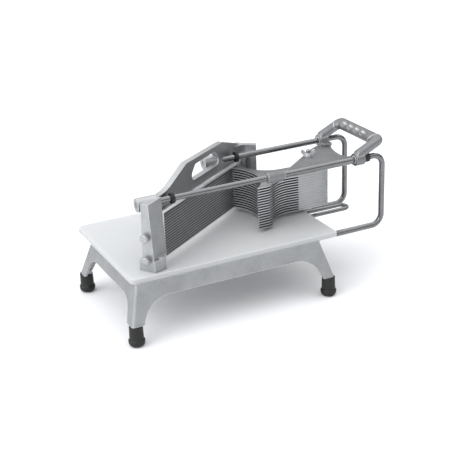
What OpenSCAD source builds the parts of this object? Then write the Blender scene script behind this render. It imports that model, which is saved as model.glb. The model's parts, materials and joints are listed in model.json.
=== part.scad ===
/* [Cutting board] */
// Length of the board, along the rods
board_l = 390; // [370:1:410]
// Width of the board
board_w = 266; // [256:1:280]
// Thickness of the board
board_t = 9.5; // [8:0.5:12]
// Corner radius at the blade end
board_left_r = 11; // [6:1:14]
// Corner radius at the handle end
board_right_r = 3; // [2:0.5:6]

/* [Base casting] */
// Height of the base's top above the counter
base_h = 101.5; // [95:0.5:110]
// Length of the base at its top
base_l = 348; // [340:0.5:352]
// Width of the base at its top
base_w = 211; // [207:1:215]
// Wall of the casting
base_wall = 5; // [4:0.5:6]
// Depth of the apron above the arches
apron_h = 25.5; // [24:0.5:30]
// Board left free at the blade end
board_over_left = 6; // [5:0.5:9]
// Sideways spread of the legs for each unit of height, along the board
splay_l = 0.29; // [0.25:0.01:0.32]
// Sideways spread of the legs for each unit of height, across the board
splay_w = 0.31; // [0.27:0.01:0.34]
// Radius of the upper corners of the arches along the board
arch_r = 50; // [44:1:54]
// Radius of the upper corners of the arches across the board
end_arch_r = 30; // [26:1:36]

/* [Rubber feet] */
// Diameter of the foot's ring
foot_d = 28; // [26:0.5:31]
// Diameter of the foot's cup
cup_d = 24; // [22.5:0.5:25]
// Height of the foot
foot_h = 35.7; // [33:0.1:38]
// Diameter of the peg inside the foot
peg_d = 14; // [12:0.5:14]

/* [Guide rods] */
// Diameter of the rods
rod_d = 10.6; // [9.6:0.1:11]
// Distance between the two rods
rod_span = 126; // [124:0.5:128]
// Height of the upper runs above the board
rod_rise = 110; // [109:0.5:112]
// Depth of the lower runs below the board
rod_drop = 15.4; // [13:0.2:16]
// Distance of the upright runs from the board's end
rod_reach = 120.4; // [112:0.5:126]
// Radius of the bends, on the rod's centre line
bend_r = 20; // [15:1:24]

/* [Head casting] */
// Angle between the blades and the rods
head_angle = 35; // [34.5:0.1:35.5]
// Thickness of the plate
plate_t = 11; // [9:0.5:11.5]
// Highest point of the plate above the board
head_h = 146; // [140:1:152]
// Height of the post above the board
post_h = 119; // [118:0.5:122]
// Thickness of the wing
wing_t = 9; // [7:0.5:10]
// Outer diameter of the bosses that hold the rods
lug_d = 24; // [20:0.5:26]

/* [Blade cassette] */
// Number of blades
blade_count = 17; // [15:1:17]
// Distance from blade to blade
blade_pitch = 4.76; // [4.7:0.01:4.8]
// Thickness of a blade
blade_t = 0.5; // [0.3:0.1:0.7]
// Width of a blade
blade_w = 8; // [7:0.5:8]
// Height of the lowest blade above the board
blade_z = 10.5; // [10.2:0.1:10.8]
// Width of the top bar
bar_w = 6; // [5:0.5:7]
// Diameter of the thumbscrews' heads
thumb_d = 14.5; // [12:0.5:17]

/* [Pusher] */
// Thickness of a fin
fin_t = 2.3; // [1.9:0.1:2.6]
// Radius of the fins' leading edge
fin_r = 82.4; // [80:0.2:84]
// Thickness of the carriage plate
carriage_t = 6; // [5:0.5:7]
// Outer diameter of the sleeve at the blade end
sleeve_d = 19; // [18:0.5:20]
// Length of the sleeve at the blade end
guide_l = 31; // [26:1:34]
// Diameter of the stack's bolts
bolt_d = 8; // [6:0.5:9]
// Span of the wing nut
wing_span = 26; // [23:1:28]

/* [Handle] */
// Slope of the handle above the rods
handle_tilt = 24.7; // [22:0.1:27]
// Length of the arms, from the sleeves to the grip's middle
arm_l = 43.8; // [40:0.2:46]
// Width of an arm
arm_w = 18.2; // [16:0.2:20]
// Width of the grip
grip_w = 24; // [22:0.5:26]
// Thickness of the arms and the grip
grip_t = 17.6; // [16:0.2:19]
// Outer diameter of the handle's sleeves
drum_d = 23; // [21:0.5:24]
// Length of the handle's sleeves
drum_l = 18.5; // [17.5:0.5:21]

/* [Table stop] */
// Diameter of the table stop's rod
stop_d = 7.5; // [6:0.5:8]
// Distance between its two legs
stop_w = 20; // [18:1:26]
// Distance that it reaches past the board
stop_reach = 106; // [96:1:110]

/* [Hidden] */

$fn = 64;
// Facets of shapes inside a hull
hull_fn = 32;
// Overrun of every cut
over = 1;
// Gap between a pressed or threaded piece and its hole
fit = 0.05;
// Gap between a rod and the bush that slides on it
slide_fit = 0.06;
// Gap between pieces that rest beside each other
seat = 0.3;

// Places that follow from the driving sizes
board_z = base_h;
board_top = base_h + board_t;
rod_r = rod_d / 2;
base_left = -board_l / 2 + board_over_left;
base_right = base_left + base_l;
base_front = -board_w / 2;
base_back = base_front + base_w;
base_mid = [(base_left + base_right) / 2, (base_front + base_back) / 2];
mid_y = base_mid[1];
rod_front_y = mid_y - rod_span / 2;
rod_rear_y = mid_y + rod_span / 2;
rod_z = board_top + rod_rise;
rod_low_z = board_z - rod_drop;
rod_end_x = board_l / 2 + rod_reach;
// The head and the pusher are set out from one line between the rods
work_off = 27.5;
work_y = mid_y + work_off;
cross_front = (rod_front_y - work_y) / tan(head_angle);
cross_rear = (rod_rear_y - work_y) / tan(head_angle);

// Legs and feet
leg_z = foot_h + seat;
leg_drop = base_h - leg_z;
base_corner_r = 6;
foot_in = 9.2;
foot_in_w = 7.35;
foot_x = base_l / 2 + leg_drop * splay_l - foot_in;
foot_y = base_w / 2 + leg_drop * splay_w - foot_in_w;
foot_flat_r = 6;
ring_low = 7;
ring_high = 11;
ring_neck = 13;
peg_z = 10;
leg_pad_h = 6;
leg_pad_w = 17;
leg_wide = 22;
leg_deep = 23.5;
arch_lean = 0.41;
sole_low_share = 0.55;
sole_high_share = 0.86;
sole_rise_share = 0.14;
sole_mid_share = 0.5;

// Centre of the whole object's plan, which becomes the origin
box_left = base_mid[0] - foot_x - foot_d / 2;
box_right = rod_end_x + rod_r;
box_front = base_mid[1] - foot_y - foot_d / 2;
box_back = board_w / 2;
origin_x = (box_left + box_right) / 2;
origin_y = (box_front + box_back) / 2;

// Base details
rim_w = 16;
rim_t = 5;
rib_x = 70;
rib_t = 8;
pad_r = 14;
pad_t = 8;
head_pad_rib = 10;
screw_r = 2.5;
screw_head_r = 4;
screw_head_h = 3;
board_screw_bite = 6;
board_screw_in = 9.5;
nut_flats = 17;
nut_t = 8;

// Head casting, in its own frame: x along the blades, y away from the fins, z up from the board
plate_back = 5;
plate_front = plate_back - plate_t;
post_start = -196;
post_end = -156;
plate_end = 126;
plate_low = 89;
peak_left = -62;
peak_right = 65;
rise_start = -117;
rise_start_z = 124;
sweep_start = -146;
sweep_mid = -131;
sweep_mid_z = 120.3;
crease_x = 119;
crease_z = 125;
peak_drop = 1.8;
post_top_front = -11;
post_top_back = 3;
post_low_front = -16;
post_low_back = 7;
foot_block_h = 20;
block_back = 13;
block_front = -17.5;
block_nose_a = [-186.4, -22];
block_nose_b = [-174.4, -26];
block_nose_c = [-160, -15];
ledge_r = 7;
ledge_h = 4;
ledge_at = [-178, -18];
wing_tip = [136, -36.6];
wing_root_front = -8;
wing_flare = 5;
wing_top_tip = 121;
wing_foot_h = 9;
wing_foot_d = 26;
wing_foot_at = [139, -22];
fillet_start = 106;
fillet_end = [133, -24];
fillet_low = 97;
fillet_bow = 9;
fillet_shares = [0.25, 0.5, 0.75];
rib_low = 6;
rib_high = 96;
rib_front = -20;
rib_back = -13;
rib_out = 3.5;
groove_front = -26.5;
groove_bottom = 133.5;
window_left = -46;
window_right = 49;
window_low = 108;
window_high = 135;
window_slant = 8;
window_r = 9;
washer_front_x = cross_front + 27.4;
lug_front_x = cross_front - 32.8;
washer_rear_x = cross_rear + 30.3;
lug_rear_x = cross_rear - 32.7;
lug_rear_in = cross_rear - 6.7;
front_in = cross_front + 1.2;
rod_tip = 0.5;
washer_t = 6.3;
washer_rear_t = 5.9;
washer_d = 19;
ring_d = 17;
ring_t = 11.4;
head_screw_r = 3;
head_screw_head_r = 5.5;
head_screw_head_h = 4;
head_screw_bite = 7;
head_screws_at = [[-176, -2], wing_foot_at];

// Blade cassette, in the head's frame
bar_clear = 2;
bar_low = blade_z + (blade_count - 1) * blade_pitch + bar_clear;
bar_t = 5.5;
bar_end = 124;
bar_gap = 0.2;
bar_back = plate_front - bar_gap;
strip_w = 6;
strip_front = -11.5;
strip_back = -2.5;
strip_low = 8;
front_strip = post_end + seat;
rear_strip = 113;
blade_back = -3;
blade_front = blade_back - blade_w;
slot_deep = 3.9;
slot_fit = 0.1;
pin_r = 1.2;
pin_fit = 0.05;
pin_proud = 0.6;
front_pin_x = -151.7;
rear_pin_x = 115;
end_pin_x = 121;
cassette_pin_y = -8.5;
tab_h = 12;
thumb_y = -4;
thumb_upper_z = 62;
thumb_lower_z = 22;
thumb_shank_r = 3;
thumb_head_l = 10;
thumb_tip = -153.7;
thumb_collar_l = 3;
thumb_collar_r = 5;
knurls = 24;
knurl_r = 0.6;

// Pusher
sleeve_r = sleeve_d / 2;
bush_t = 2;
bush_r = rod_r + slide_fit + bush_t;
guide_x = 80;
front_drum_x = 255.2;
rear_drum_x = 256;
stack_low = blade_z - blade_pitch / 2;
spacer_t = blade_pitch - fin_t;
fin_top = stack_low + (blade_count - 1) * blade_pitch + fin_t / 2;
carriage_z = 98;
fin_front_y = -68;
fin_rear_y = 62;
fin_nose_at = [19.7, -4.5];
fin_nose_x = 64;
fin_round_r = 15;
side_front_at = [155, -80];
side_front_r = 53.5;
side_rear_at = [156, 52];
side_rear_r = 54.5;
fin_round_at = [side_front_at[0] - sqrt(pow(side_front_r + fin_round_r, 2)
                                        - pow(side_front_at[1] - fin_front_y - fin_round_r, 2)),
                fin_front_y + fin_round_r];
fin_tip = [80, 64];
fin_heel = [97, 54];
neck_front = -28.5;
neck_rear = -5;
stack_x = 177;
stack_step = 190;
stack_corner = 205;
stack_end = 239;
stack_back = 12;
stack_bolts_at = [[204, -17], [226, 0]];
spacer_back_x = 226;
spacer_front_y = -27.1;
bolt_fit = 0.15;
stack_nut_t = 4;
stack_nut_flats = 12;
stud_proud = 13;
wing_hub_r = 6.5;
wing_hub_h = 7;
wing_lift = 14;
wing_blade_t = 2.6;
wing_blade_r = 4.5;
wing_turn = -32;
carriage_front = rod_front_y - work_y + 10.5;
carriage_rear = rod_rear_y - work_y - 10.5;
carriage_nose = [84, -68];
carriage_nose_in = [96, -62];
carriage_bend = [135, -62];
carriage_bend_in = [147, -50];
carriage_shoulder = [231, 17];
carriage_rear_left = [246, carriage_rear];
carriage_rear_right = [279, carriage_rear];
carriage_waist = [[270, 12], [264, -2], [260, -22], [259, -39], [263, -52], [270, -62]];
carriage_front_right = 281;
pad_lift = 5.5;
pad_l = 17;
pad_from = 8.5;
pad_in = 24;
handle_screw_r = 2.5;
handle_screw_head_r = 4.5;
handle_screw_head_h = 2.8;
handle_screw_bite = 4;
handle_screw_in = 18;

// Handle
grip_bend = 5;
bar_fn = 32;
arm_foot = 7.5;
arm_base_x = 265;
arm_lift = 8.5;
finger_count = 4;
finger_pitch = 20.7;
finger_w = 11;
finger_deep = 3.6;
finger_long = 17;
finger_out = 3.6;
finger_shift = 6;

// Table stop
stop_drop = 8.5;
stop_in = 35.5;
stop_pivot_x = 178;
stop_bend_r = 5;
stop_arm_y = 28.5;
stop_clip_y = 22;
stop_clip_w = 11;
stop_clip_wall = 3;
stop_flange = 11;
stop_flange_t = 3;
stop_screw_r = 1.8;
stop_screw_head_r = 3.4;
stop_screw_head_h = 2.2;
stop_screw_bite = 6;

// Sets the object's origin under the middle of its plan
module placed() { translate([-origin_x, -origin_y, 0]) children(); }

// Turns a child from the head's frame into the board's frame, on top of the board
module in_head() { translate([0, work_y, board_top]) rotate(head_angle) children(); }

// Sets a child of the pusher on the line that it is laid out from
module in_work() { translate([0, work_y, 0]) children(); }

// A cylinder along +X that starts at x
module along_x(x, length, r) { translate([x, 0, 0]) rotate([0, 90, 0]) cylinder(h = length, r = r); }

// A flat ring along +X
module ring_x(x, length, r, bore) {
  difference() {
    along_x(x, length, r);
    along_x(x - over, length + 2 * over, bore);
  }
}

// Upright prism over an outline, from z to z + h
module prism(outline, z, h) { translate([0, 0, z]) linear_extrude(h) polygon(outline); }

// Hexagon prism with a bore, lying along +Z
module hex_nut(flats, h, bore) {
  difference() {
    cylinder(h = h, r = flats / sqrt(3), $fn = 6);
    translate([0, 0, -over]) cylinder(h = h + 2 * over, r = bore);
  }
}

// Pan head screw that points up, with its head below z = 0
module screw_up(shank_r, length, head_r, head_h) {
  cylinder(h = length, r = shank_r);
  translate([0, 0, -head_h]) cylinder(h = head_h, r = head_r);
}

// Flared block of the base's outer shape, grown by grow on every side
module flared_block(grow) {
  hull() {
    for (level = [[0, base_h], [leg_drop, leg_z - over]])
      for (sx = [-1, 1], sy = [-1, 1])
        translate([sx * (base_l / 2 + level[0] * splay_l + grow - base_corner_r),
                   sy * (base_w / 2 + level[0] * splay_w + grow - base_corner_r), level[1]])
          cylinder(h = over, r = base_corner_r, $fn = hull_fn);
  }
}

// Opening of an arch, half as wide as given at the legs' ends: leaning sides that run into round corners
module arch_outline(half, r) {
  slant = sqrt(1 + arch_lean * arch_lean);
  side = arch_top - r + r * arch_lean / slant;
  edge = half - arch_lean * (side - leg_z);
  low = half + arch_lean * (leg_z + over);
  corner = edge - r / slant;
  polygon([[-low, -over], [low, -over], [edge, side], [corner, arch_top], [-corner, arch_top], [-edge, side]]);
  for (s = [-1, 1]) translate([s * corner, arch_top - r]) circle(r);
}

module head_pad(at) {
  translate([at[0], at[1], base_h - pad_t]) cylinder(h = pad_t, r = pad_r);
}

function head_to_board(p) =
  [p[0] * cos(head_angle) - p[1] * sin(head_angle), p[0] * sin(head_angle) + p[1] * cos(head_angle) + work_y];

board_screw_x = [base_left + board_screw_in, base_mid[0], base_right - board_screw_in];
board_screw_y = [base_front + board_screw_in, base_back - board_screw_in];
front_pad = head_to_board(head_screws_at[0]);
rear_pad = head_to_board(head_screws_at[1]);
arch_top = base_h - apron_h;
arch_half_l = base_l / 2 + leg_drop * splay_l - leg_wide;
arch_half_w = base_w / 2 + leg_drop * splay_w - leg_deep;

// Casting without its pegs: flared shell, solid leg ends, rim, cross rib and screw pads, cut by the arches
module base_shell() {
  difference() {
    union() {
      difference() {
        translate([base_mid[0], base_mid[1], 0]) intersection() {
          flared_block(0);
          translate([0, 0, leg_z]) linear_extrude(leg_drop) square(2 * base_l, center = true);
        }
        translate([base_mid[0], base_mid[1], 0]) difference() {
          flared_block(-base_wall);
          for (sx = [-1, 1], sy = [-1, 1])
            translate([sx * (base_l / 2 + leg_drop * splay_l), sy * (base_w / 2 + leg_drop * splay_w), leg_z])
              cube([2 * leg_pad_w, 2 * leg_pad_w, 2 * leg_pad_h], center = true);
        }
      }
      translate([base_left, base_front, base_h - rim_t]) difference() {
        cube([base_l, base_w, rim_t]);
        translate([rim_w, rim_w, -over]) cube([base_l - 2 * rim_w, base_w - 2 * rim_w, rim_t + 2 * over]);
      }
      translate([rib_x, base_front + base_wall / 2, arch_top])
        cube([rib_t, base_w - base_wall, apron_h]);
      head_pad(front_pad);
      head_pad(rear_pad);
      translate([front_pad[0] - head_pad_rib / 2, base_front + base_wall / 2, base_h - pad_t])
        cube([head_pad_rib, front_pad[1] - base_front, pad_t]);
      translate([rear_pad[0] - head_pad_rib / 2, rear_pad[1], base_h - pad_t])
        cube([head_pad_rib, base_back - base_wall / 2 - rear_pad[1], pad_t]);
    }
    translate([base_mid[0], base_front + base_w + 2 * leg_deep, 0]) rotate([90, 0, 0])
      linear_extrude(base_w + 4 * leg_deep) arch_outline(arch_half_l, arch_r);
    translate([base_left - 2 * leg_deep, base_mid[1], 0]) rotate([90, 0, 90])
      linear_extrude(base_l + 4 * leg_deep) arch_outline(arch_half_w, end_arch_r);
    for (y = [rod_front_y, rod_rear_y])
      translate([0, y, rod_low_z]) along_x(rib_x - over, base_right - rib_x + rim_w, rod_r + fit);
    for (x = board_screw_x, y = board_screw_y)
      translate([x, y, base_h - rim_t - over]) cylinder(h = rim_t + 2 * over, r = screw_r + fit);
    for (p = [front_pad, rear_pad])
      translate([p[0], p[1], base_h - pad_t - over])
        cylinder(h = pad_t + 2 * over, r = head_screw_r + fit);
  }
}

module base_frame() {
  color("silver") placed() {
    base_shell();
    for (sx = [-1, 1], sy = [-1, 1])
      translate([base_mid[0] + sx * foot_x, base_mid[1] + sy * foot_y, peg_z])
        cylinder(h = leg_z + over - peg_z, d = peg_d);
  }
}

module slide_board() {
  color("white") placed() difference() {
    translate([0, 0, board_z]) hull() {
      for (s = [-1, 1]) {
        translate([-board_l / 2 + board_left_r, s * (board_w / 2 - board_left_r), 0])
          cylinder(h = board_t, r = board_left_r, $fn = 2 * hull_fn);
        translate([board_l / 2 - board_right_r, s * (board_w / 2 - board_right_r), 0])
          cylinder(h = board_t, r = board_right_r, $fn = hull_fn);
      }
    }
    for (x = board_screw_x, y = board_screw_y)
      translate([x, y, board_z - over]) cylinder(h = board_screw_bite + over, r = screw_r + fit);
    for (p = [front_pad, rear_pad])
      translate([p[0], p[1], board_z - over]) cylinder(h = board_t + 2 * over, r = head_screw_r + fit);
    for (p = stop_screws_at)
      translate([p[0], p[1], board_z - over]) cylinder(h = stop_screw_bite + over, r = stop_screw_r + fit);
  }
}

// Rubber cap: domed sole with a small flat, a ring, and a cup that takes the peg
module foot(sx, sy) {
  color("dimgray") placed()
    translate([base_mid[0] + sx * foot_x, base_mid[1] + sy * foot_y, 0]) rotate_extrude()
      polygon([[0, 0], [foot_flat_r, 0],
               [foot_flat_r + (foot_d / 2 - foot_flat_r) * sole_low_share, ring_low * sole_rise_share],
               [foot_flat_r + (foot_d / 2 - foot_flat_r) * sole_high_share, ring_low * sole_mid_share],
               [foot_d / 2, ring_low],
               [foot_d / 2, ring_high], [cup_d / 2, ring_neck], [cup_d / 2, foot_h],
               [peg_d / 2 + fit, foot_h], [peg_d / 2 + fit, peg_z - seat], [0, peg_z - seat]]);
}

module foot_front_left() { foot(-1, -1); }
module foot_front_right() { foot(1, -1); }
module foot_rear_left() { foot(-1, 1); }
module foot_rear_right() { foot(1, 1); }

module board_screws() {
  color("gray") placed() for (x = board_screw_x, y = board_screw_y)
    translate([x, y, base_h - rim_t])
      screw_up(screw_r, rim_t + board_screw_bite - seat, screw_head_r, screw_head_h);
}

// Guide rod: upper run, bend, upright run, bend, and lower run into the base
module guide_rod(y, start_x) {
  low_start = rib_x - nut_t - rod_tip;
  placed() translate([0, y, 0]) {
    translate([0, 0, rod_z]) along_x(start_x, rod_end_x - bend_r - start_x, rod_r);
    translate([0, 0, rod_low_z]) along_x(low_start, rod_end_x - bend_r - low_start, rod_r);
    translate([rod_end_x, 0, rod_low_z + bend_r]) cylinder(h = rod_z - rod_low_z - 2 * bend_r, r = rod_r);
    translate([rod_end_x - bend_r, 0, rod_z - bend_r]) rotate([90, 0, 0])
      rotate_extrude(angle = 90) translate([bend_r, 0]) circle(rod_r);
    translate([rod_end_x - bend_r, 0, rod_low_z + bend_r]) rotate([90, 0, 0]) rotate(-90)
      rotate_extrude(angle = 90) translate([bend_r, 0]) circle(rod_r);
  }
}

module guide_rod_front() { color("lightgray") guide_rod(rod_front_y, lug_front_x + rod_tip); }
module guide_rod_rear() { color("lightgray") guide_rod(rod_rear_y, lug_rear_x + rod_tip); }

module rod_nuts() {
  color("gray") placed() for (y = [rod_front_y, rod_rear_y], x = [rib_x - nut_t, rib_x + rib_t])
    translate([x, y, rod_low_z]) rotate([0, 90, 0]) hex_nut(nut_flats, nut_t, rod_r + fit);
}

stop_z = board_z - stop_drop;
stop_mid_y = rod_rear_y - stop_in;
stop_end_x = board_l / 2 + stop_reach;
stop_turn_x = stop_end_x - stop_d / 2 - stop_w / 2;
stop_screws_at = [for (s = [-1, 1], t = [-1, 1])
  [stop_pivot_x + t * stop_flange, stop_mid_y + s * stop_clip_y]];

// Hairpin with two outward trunnions that turn in the clips
module table_stop() {
  color("gray") placed() translate([0, stop_mid_y, stop_z]) {
    translate([stop_turn_x, 0, 0]) rotate(-90) rotate_extrude(angle = 180) translate([stop_w / 2, 0])
      circle(d = stop_d);
    for (s = [0, 1]) mirror([0, s, 0]) {
      translate([0, stop_w / 2, 0])
        along_x(stop_pivot_x + stop_bend_r, stop_turn_x - stop_pivot_x - stop_bend_r, stop_d / 2);
      translate([stop_pivot_x + stop_bend_r, stop_w / 2 + stop_bend_r, 0]) rotate(180)
        rotate_extrude(angle = 90) translate([stop_bend_r, 0]) circle(d = stop_d);
      translate([stop_pivot_x, stop_w / 2 + stop_bend_r, 0]) rotate([-90, 0, 0])
        cylinder(h = stop_arm_y - stop_w / 2 - stop_bend_r, d = stop_d);
    }
  }
}

module table_stop_clips() {
  half = stop_d / 2 + slide_fit + stop_clip_wall;
  color("silver") placed() for (s = [-1, 1])
    translate([stop_pivot_x, stop_mid_y + s * stop_clip_y, stop_z]) difference() {
      union() {
        rotate([90, 0, 0]) cylinder(h = stop_clip_w, r = half, center = true);
        translate([-half, -stop_clip_w / 2, 0]) cube([2 * half, stop_clip_w, stop_drop]);
        translate([-stop_flange - 2 * stop_screw_r, -stop_clip_w / 2, stop_drop - stop_flange_t])
          cube([2 * stop_flange + 4 * stop_screw_r, stop_clip_w, stop_flange_t]);
      }
      rotate([90, 0, 0]) cylinder(h = stop_clip_w + 2 * over, r = stop_d / 2 + slide_fit, center = true);
      for (t = [-1, 1]) translate([t * stop_flange, 0, 0])
        cylinder(h = stop_drop + over, r = stop_screw_r + fit);
    }
}

module table_stop_screws() {
  color("gray") placed() for (p = stop_screws_at)
    translate([p[0], p[1], board_z - stop_flange_t])
      screw_up(stop_screw_r, stop_flange_t + stop_screw_bite - seat, stop_screw_head_r, stop_screw_head_h);
}

head_profile = [[post_end - over, plate_low], [plate_end, plate_low], [plate_end, wing_top_tip],
                [crease_x, crease_z], [peak_right, head_h - peak_drop], [peak_left, head_h],
                [rise_start, rise_start_z], [sweep_mid, sweep_mid_z], [sweep_start, post_h],
                [post_end - over, post_h]];

// Window in the plate: a slot with leaning ends and round corners
module window_outline() {
  hull() {
    translate([window_left + window_r, window_low + window_r]) circle(window_r, $fn = hull_fn);
    translate([window_left + window_slant + window_r, window_high - window_r]) circle(window_r, $fn = hull_fn);
    translate([window_right - window_slant - window_r, window_high - window_r]) circle(window_r, $fn = hull_fn);
    translate([window_right - window_r, window_low + window_r]) circle(window_r, $fn = hull_fn);
  }
}

module head_plate() {
  translate([0, plate_back, 0]) rotate([90, 0, 0]) linear_extrude(plate_t) difference() {
    polygon(head_profile);
    window_outline();
  }
}

// Post that thickens towards its foot
module head_post() {
  hull() {
    translate([post_start, post_top_front, post_h - over])
      cube([post_end - post_start, post_top_back - post_top_front, over]);
    translate([post_start, post_low_front, foot_block_h])
      cube([post_end - post_start, post_low_back - post_low_front, over]);
  }
  prism([[post_start, block_back], [post_start, block_front], block_nose_a, block_nose_b, block_nose_c,
         [post_end, block_back]], 0, foot_block_h + over / 2);
  translate([ledge_at[0], ledge_at[1], foot_block_h]) cylinder(h = ledge_h, r = ledge_r);
}

// Wing that closes the plate's far end and stands on the board
module head_wing() {
  difference() {
    prism([[plate_end, plate_back], [plate_end, wing_root_front], wing_tip,
           [wing_tip[0] + wing_t, wing_tip[1] + wing_flare], [plate_end + wing_t, wing_root_front],
           [plate_end + wing_t, plate_back]], 0, wing_top_tip);
    translate([plate_end - over, groove_front, rib_low])
      cube([groove_bottom - plate_end + over, rib_front - groove_front, rib_high - rib_low]);
  }
  translate([plate_end - rib_out, rib_front, rib_low])
    cube([rib_out + wing_flare, rib_back - rib_front, rib_high - rib_low]);
  prism(concat([[fillet_start, plate_front], [plate_end, plate_front], fillet_end],
               [for (t = fillet_shares)
                 [fillet_end[0] + (fillet_start - fillet_end[0]) * t + fillet_bow * t * (1 - t),
                  fillet_end[1] + (plate_front - fillet_end[1]) * t + 2 * fillet_bow * t * (1 - t)]]),
        fillet_low, wing_top_tip - fillet_low);
  translate([wing_foot_at[0], wing_foot_at[1], 0]) cylinder(h = wing_foot_h, d = wing_foot_d);
}

module head_casting() {
  color("silver") placed() difference() {
    union() {
      in_head() {
        head_plate();
        head_post();
        head_wing();
      }
      translate([0, rod_front_y, rod_z]) along_x(lug_front_x, front_in - lug_front_x, lug_d / 2);
      translate([0, rod_rear_y, rod_z]) along_x(lug_rear_x, lug_rear_in - lug_rear_x, lug_d / 2);
    }
    translate([0, rod_front_y, rod_z])
      along_x(lug_front_x - over, washer_front_x - lug_front_x + over, rod_r + fit);
    translate([0, rod_rear_y, rod_z])
      along_x(lug_rear_x - over, washer_rear_x - lug_rear_x + over, rod_r + fit);
    for (p = [front_pad, rear_pad])
      translate([p[0], p[1], board_top - over]) cylinder(h = head_screw_bite + over, r = head_screw_r + fit);
    in_head() for (z = [thumb_upper_z, thumb_lower_z])
      translate([0, thumb_y, z])
        along_x(post_start - over, post_end - post_start + 2 * over, thumb_shank_r + fit);
  }
}

module head_screws() {
  color("gray") placed() for (p = [front_pad, rear_pad])
    translate([p[0], p[1], base_h - pad_t])
      screw_up(head_screw_r, pad_t + board_t + head_screw_bite - seat, head_screw_head_r, head_screw_head_h);
}

module head_washer_front() {
  color("dimgray") placed() translate([0, rod_front_y, rod_z])
    ring_x(washer_front_x, washer_t, washer_d / 2, rod_r + fit);
}

module head_washer_rear() {
  color("dimgray") placed() translate([0, rod_rear_y, rod_z])
    ring_x(washer_rear_x, washer_rear_t, washer_d / 2, rod_r + fit);
}

module stop_ring_front() {
  color("dimgray") placed() translate([0, rod_front_y, rod_z])
    ring_x(front_drum_x + drum_l + seat, ring_t, ring_d / 2, rod_r + fit);
}

module cassette_top_bar() {
  color("lightgray") placed() in_head() difference() {
    union() {
      translate([front_strip, bar_back - bar_w, bar_low])
        cube([bar_end - bar_w / 2 - front_strip, bar_w, bar_t]);
      translate([bar_end - bar_w / 2, bar_back - bar_w / 2, bar_low]) cylinder(h = bar_t, d = bar_w);
    }
    for (x = [front_pin_x, rear_pin_x, end_pin_x])
      translate([x, cassette_pin_y, bar_low - over]) cylinder(h = bar_t + 2 * over, r = pin_r + pin_fit);
  }
}

// End strip with a slot for every blade, a pin hole and its screw or tab
module end_strip(x, slot_x, pin_x) {
  difference() {
    translate([x, strip_front, strip_low]) cube([strip_w, strip_back - strip_front, bar_low - strip_low]);
    for (i = [0 : blade_count - 1])
      translate([slot_x, strip_front - over, blade_z + i * blade_pitch - blade_t / 2 - slot_fit])
        cube([slot_deep + over, strip_back - strip_front + 2 * over, blade_t + 2 * slot_fit]);
    translate([pin_x, cassette_pin_y, strip_low - over])
      cylinder(h = bar_low - strip_low + 2 * over, r = pin_r + pin_fit);
  }
}

module cassette_end_front() {
  color("gainsboro") placed() in_head() difference() {
    end_strip(front_strip, front_strip + strip_w - slot_deep, front_pin_x);
    for (z = [thumb_upper_z, thumb_lower_z])
      translate([0, thumb_y, z]) along_x(front_strip - over, over + thumb_tip + seat - front_strip,
                                         thumb_shank_r + fit);
  }
}

module cassette_end_rear() {
  tab_l = plate_end - seat - rear_strip - strip_w / 2;
  color("gainsboro") placed() in_head() {
    end_strip(rear_strip, rear_strip - over, rear_pin_x);
    difference() {
      translate([rear_strip + strip_w / 2 + over, strip_front, bar_low - tab_h])
        cube([tab_l - over, strip_back - strip_front, tab_h]);
      translate([end_pin_x, cassette_pin_y, bar_low - tab_h - over])
        cylinder(h = tab_h + 2 * over, r = pin_r + pin_fit);
    }
  }
}

module slicing_blades() {
  start = front_strip + strip_w - slot_deep + slot_fit;
  end = rear_strip + slot_deep - slot_fit;
  color("darkgray") placed() in_head() for (i = [0 : blade_count - 1])
    translate([0, 0, blade_z + i * blade_pitch - blade_t / 2]) difference() {
      translate([start, blade_front, 0]) cube([end - start, blade_w, blade_t]);
      for (x = [front_pin_x, rear_pin_x]) translate([x, cassette_pin_y, -over])
        cylinder(h = blade_t + 2 * over, r = pin_r + pin_fit);
    }
}

module blade_pins() {
  top = bar_low + bar_t + pin_proud;
  color("gray") placed() in_head() {
    for (x = [front_pin_x, rear_pin_x])
      translate([x, cassette_pin_y, strip_low]) cylinder(h = top - strip_low, r = pin_r);
    translate([end_pin_x, cassette_pin_y, bar_low - tab_h]) cylinder(h = top - bar_low + tab_h, r = pin_r);
  }
}

// Knurled thumbscrew that runs through the post into the cassette's front strip
module thumbscrew(z) {
  head_x = post_start - seat - thumb_head_l;
  color("lightgray") placed() in_head() translate([0, thumb_y, z]) {
    difference() {
      along_x(head_x, thumb_head_l - thumb_collar_l, thumb_d / 2);
      for (k = [0 : knurls - 1]) rotate([k * 360 / knurls, 0, 0])
        translate([0, thumb_d / 2, 0]) along_x(head_x - over, thumb_head_l, knurl_r);
    }
    along_x(head_x + thumb_head_l - thumb_collar_l, thumb_collar_l, thumb_collar_r);
    along_x(head_x + over, thumb_tip - head_x - over, thumb_shank_r);
  }
}

module cassette_screw_upper() { thumbscrew(thumb_upper_z); }
module cassette_screw_lower() { thumbscrew(thumb_lower_z); }

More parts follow.
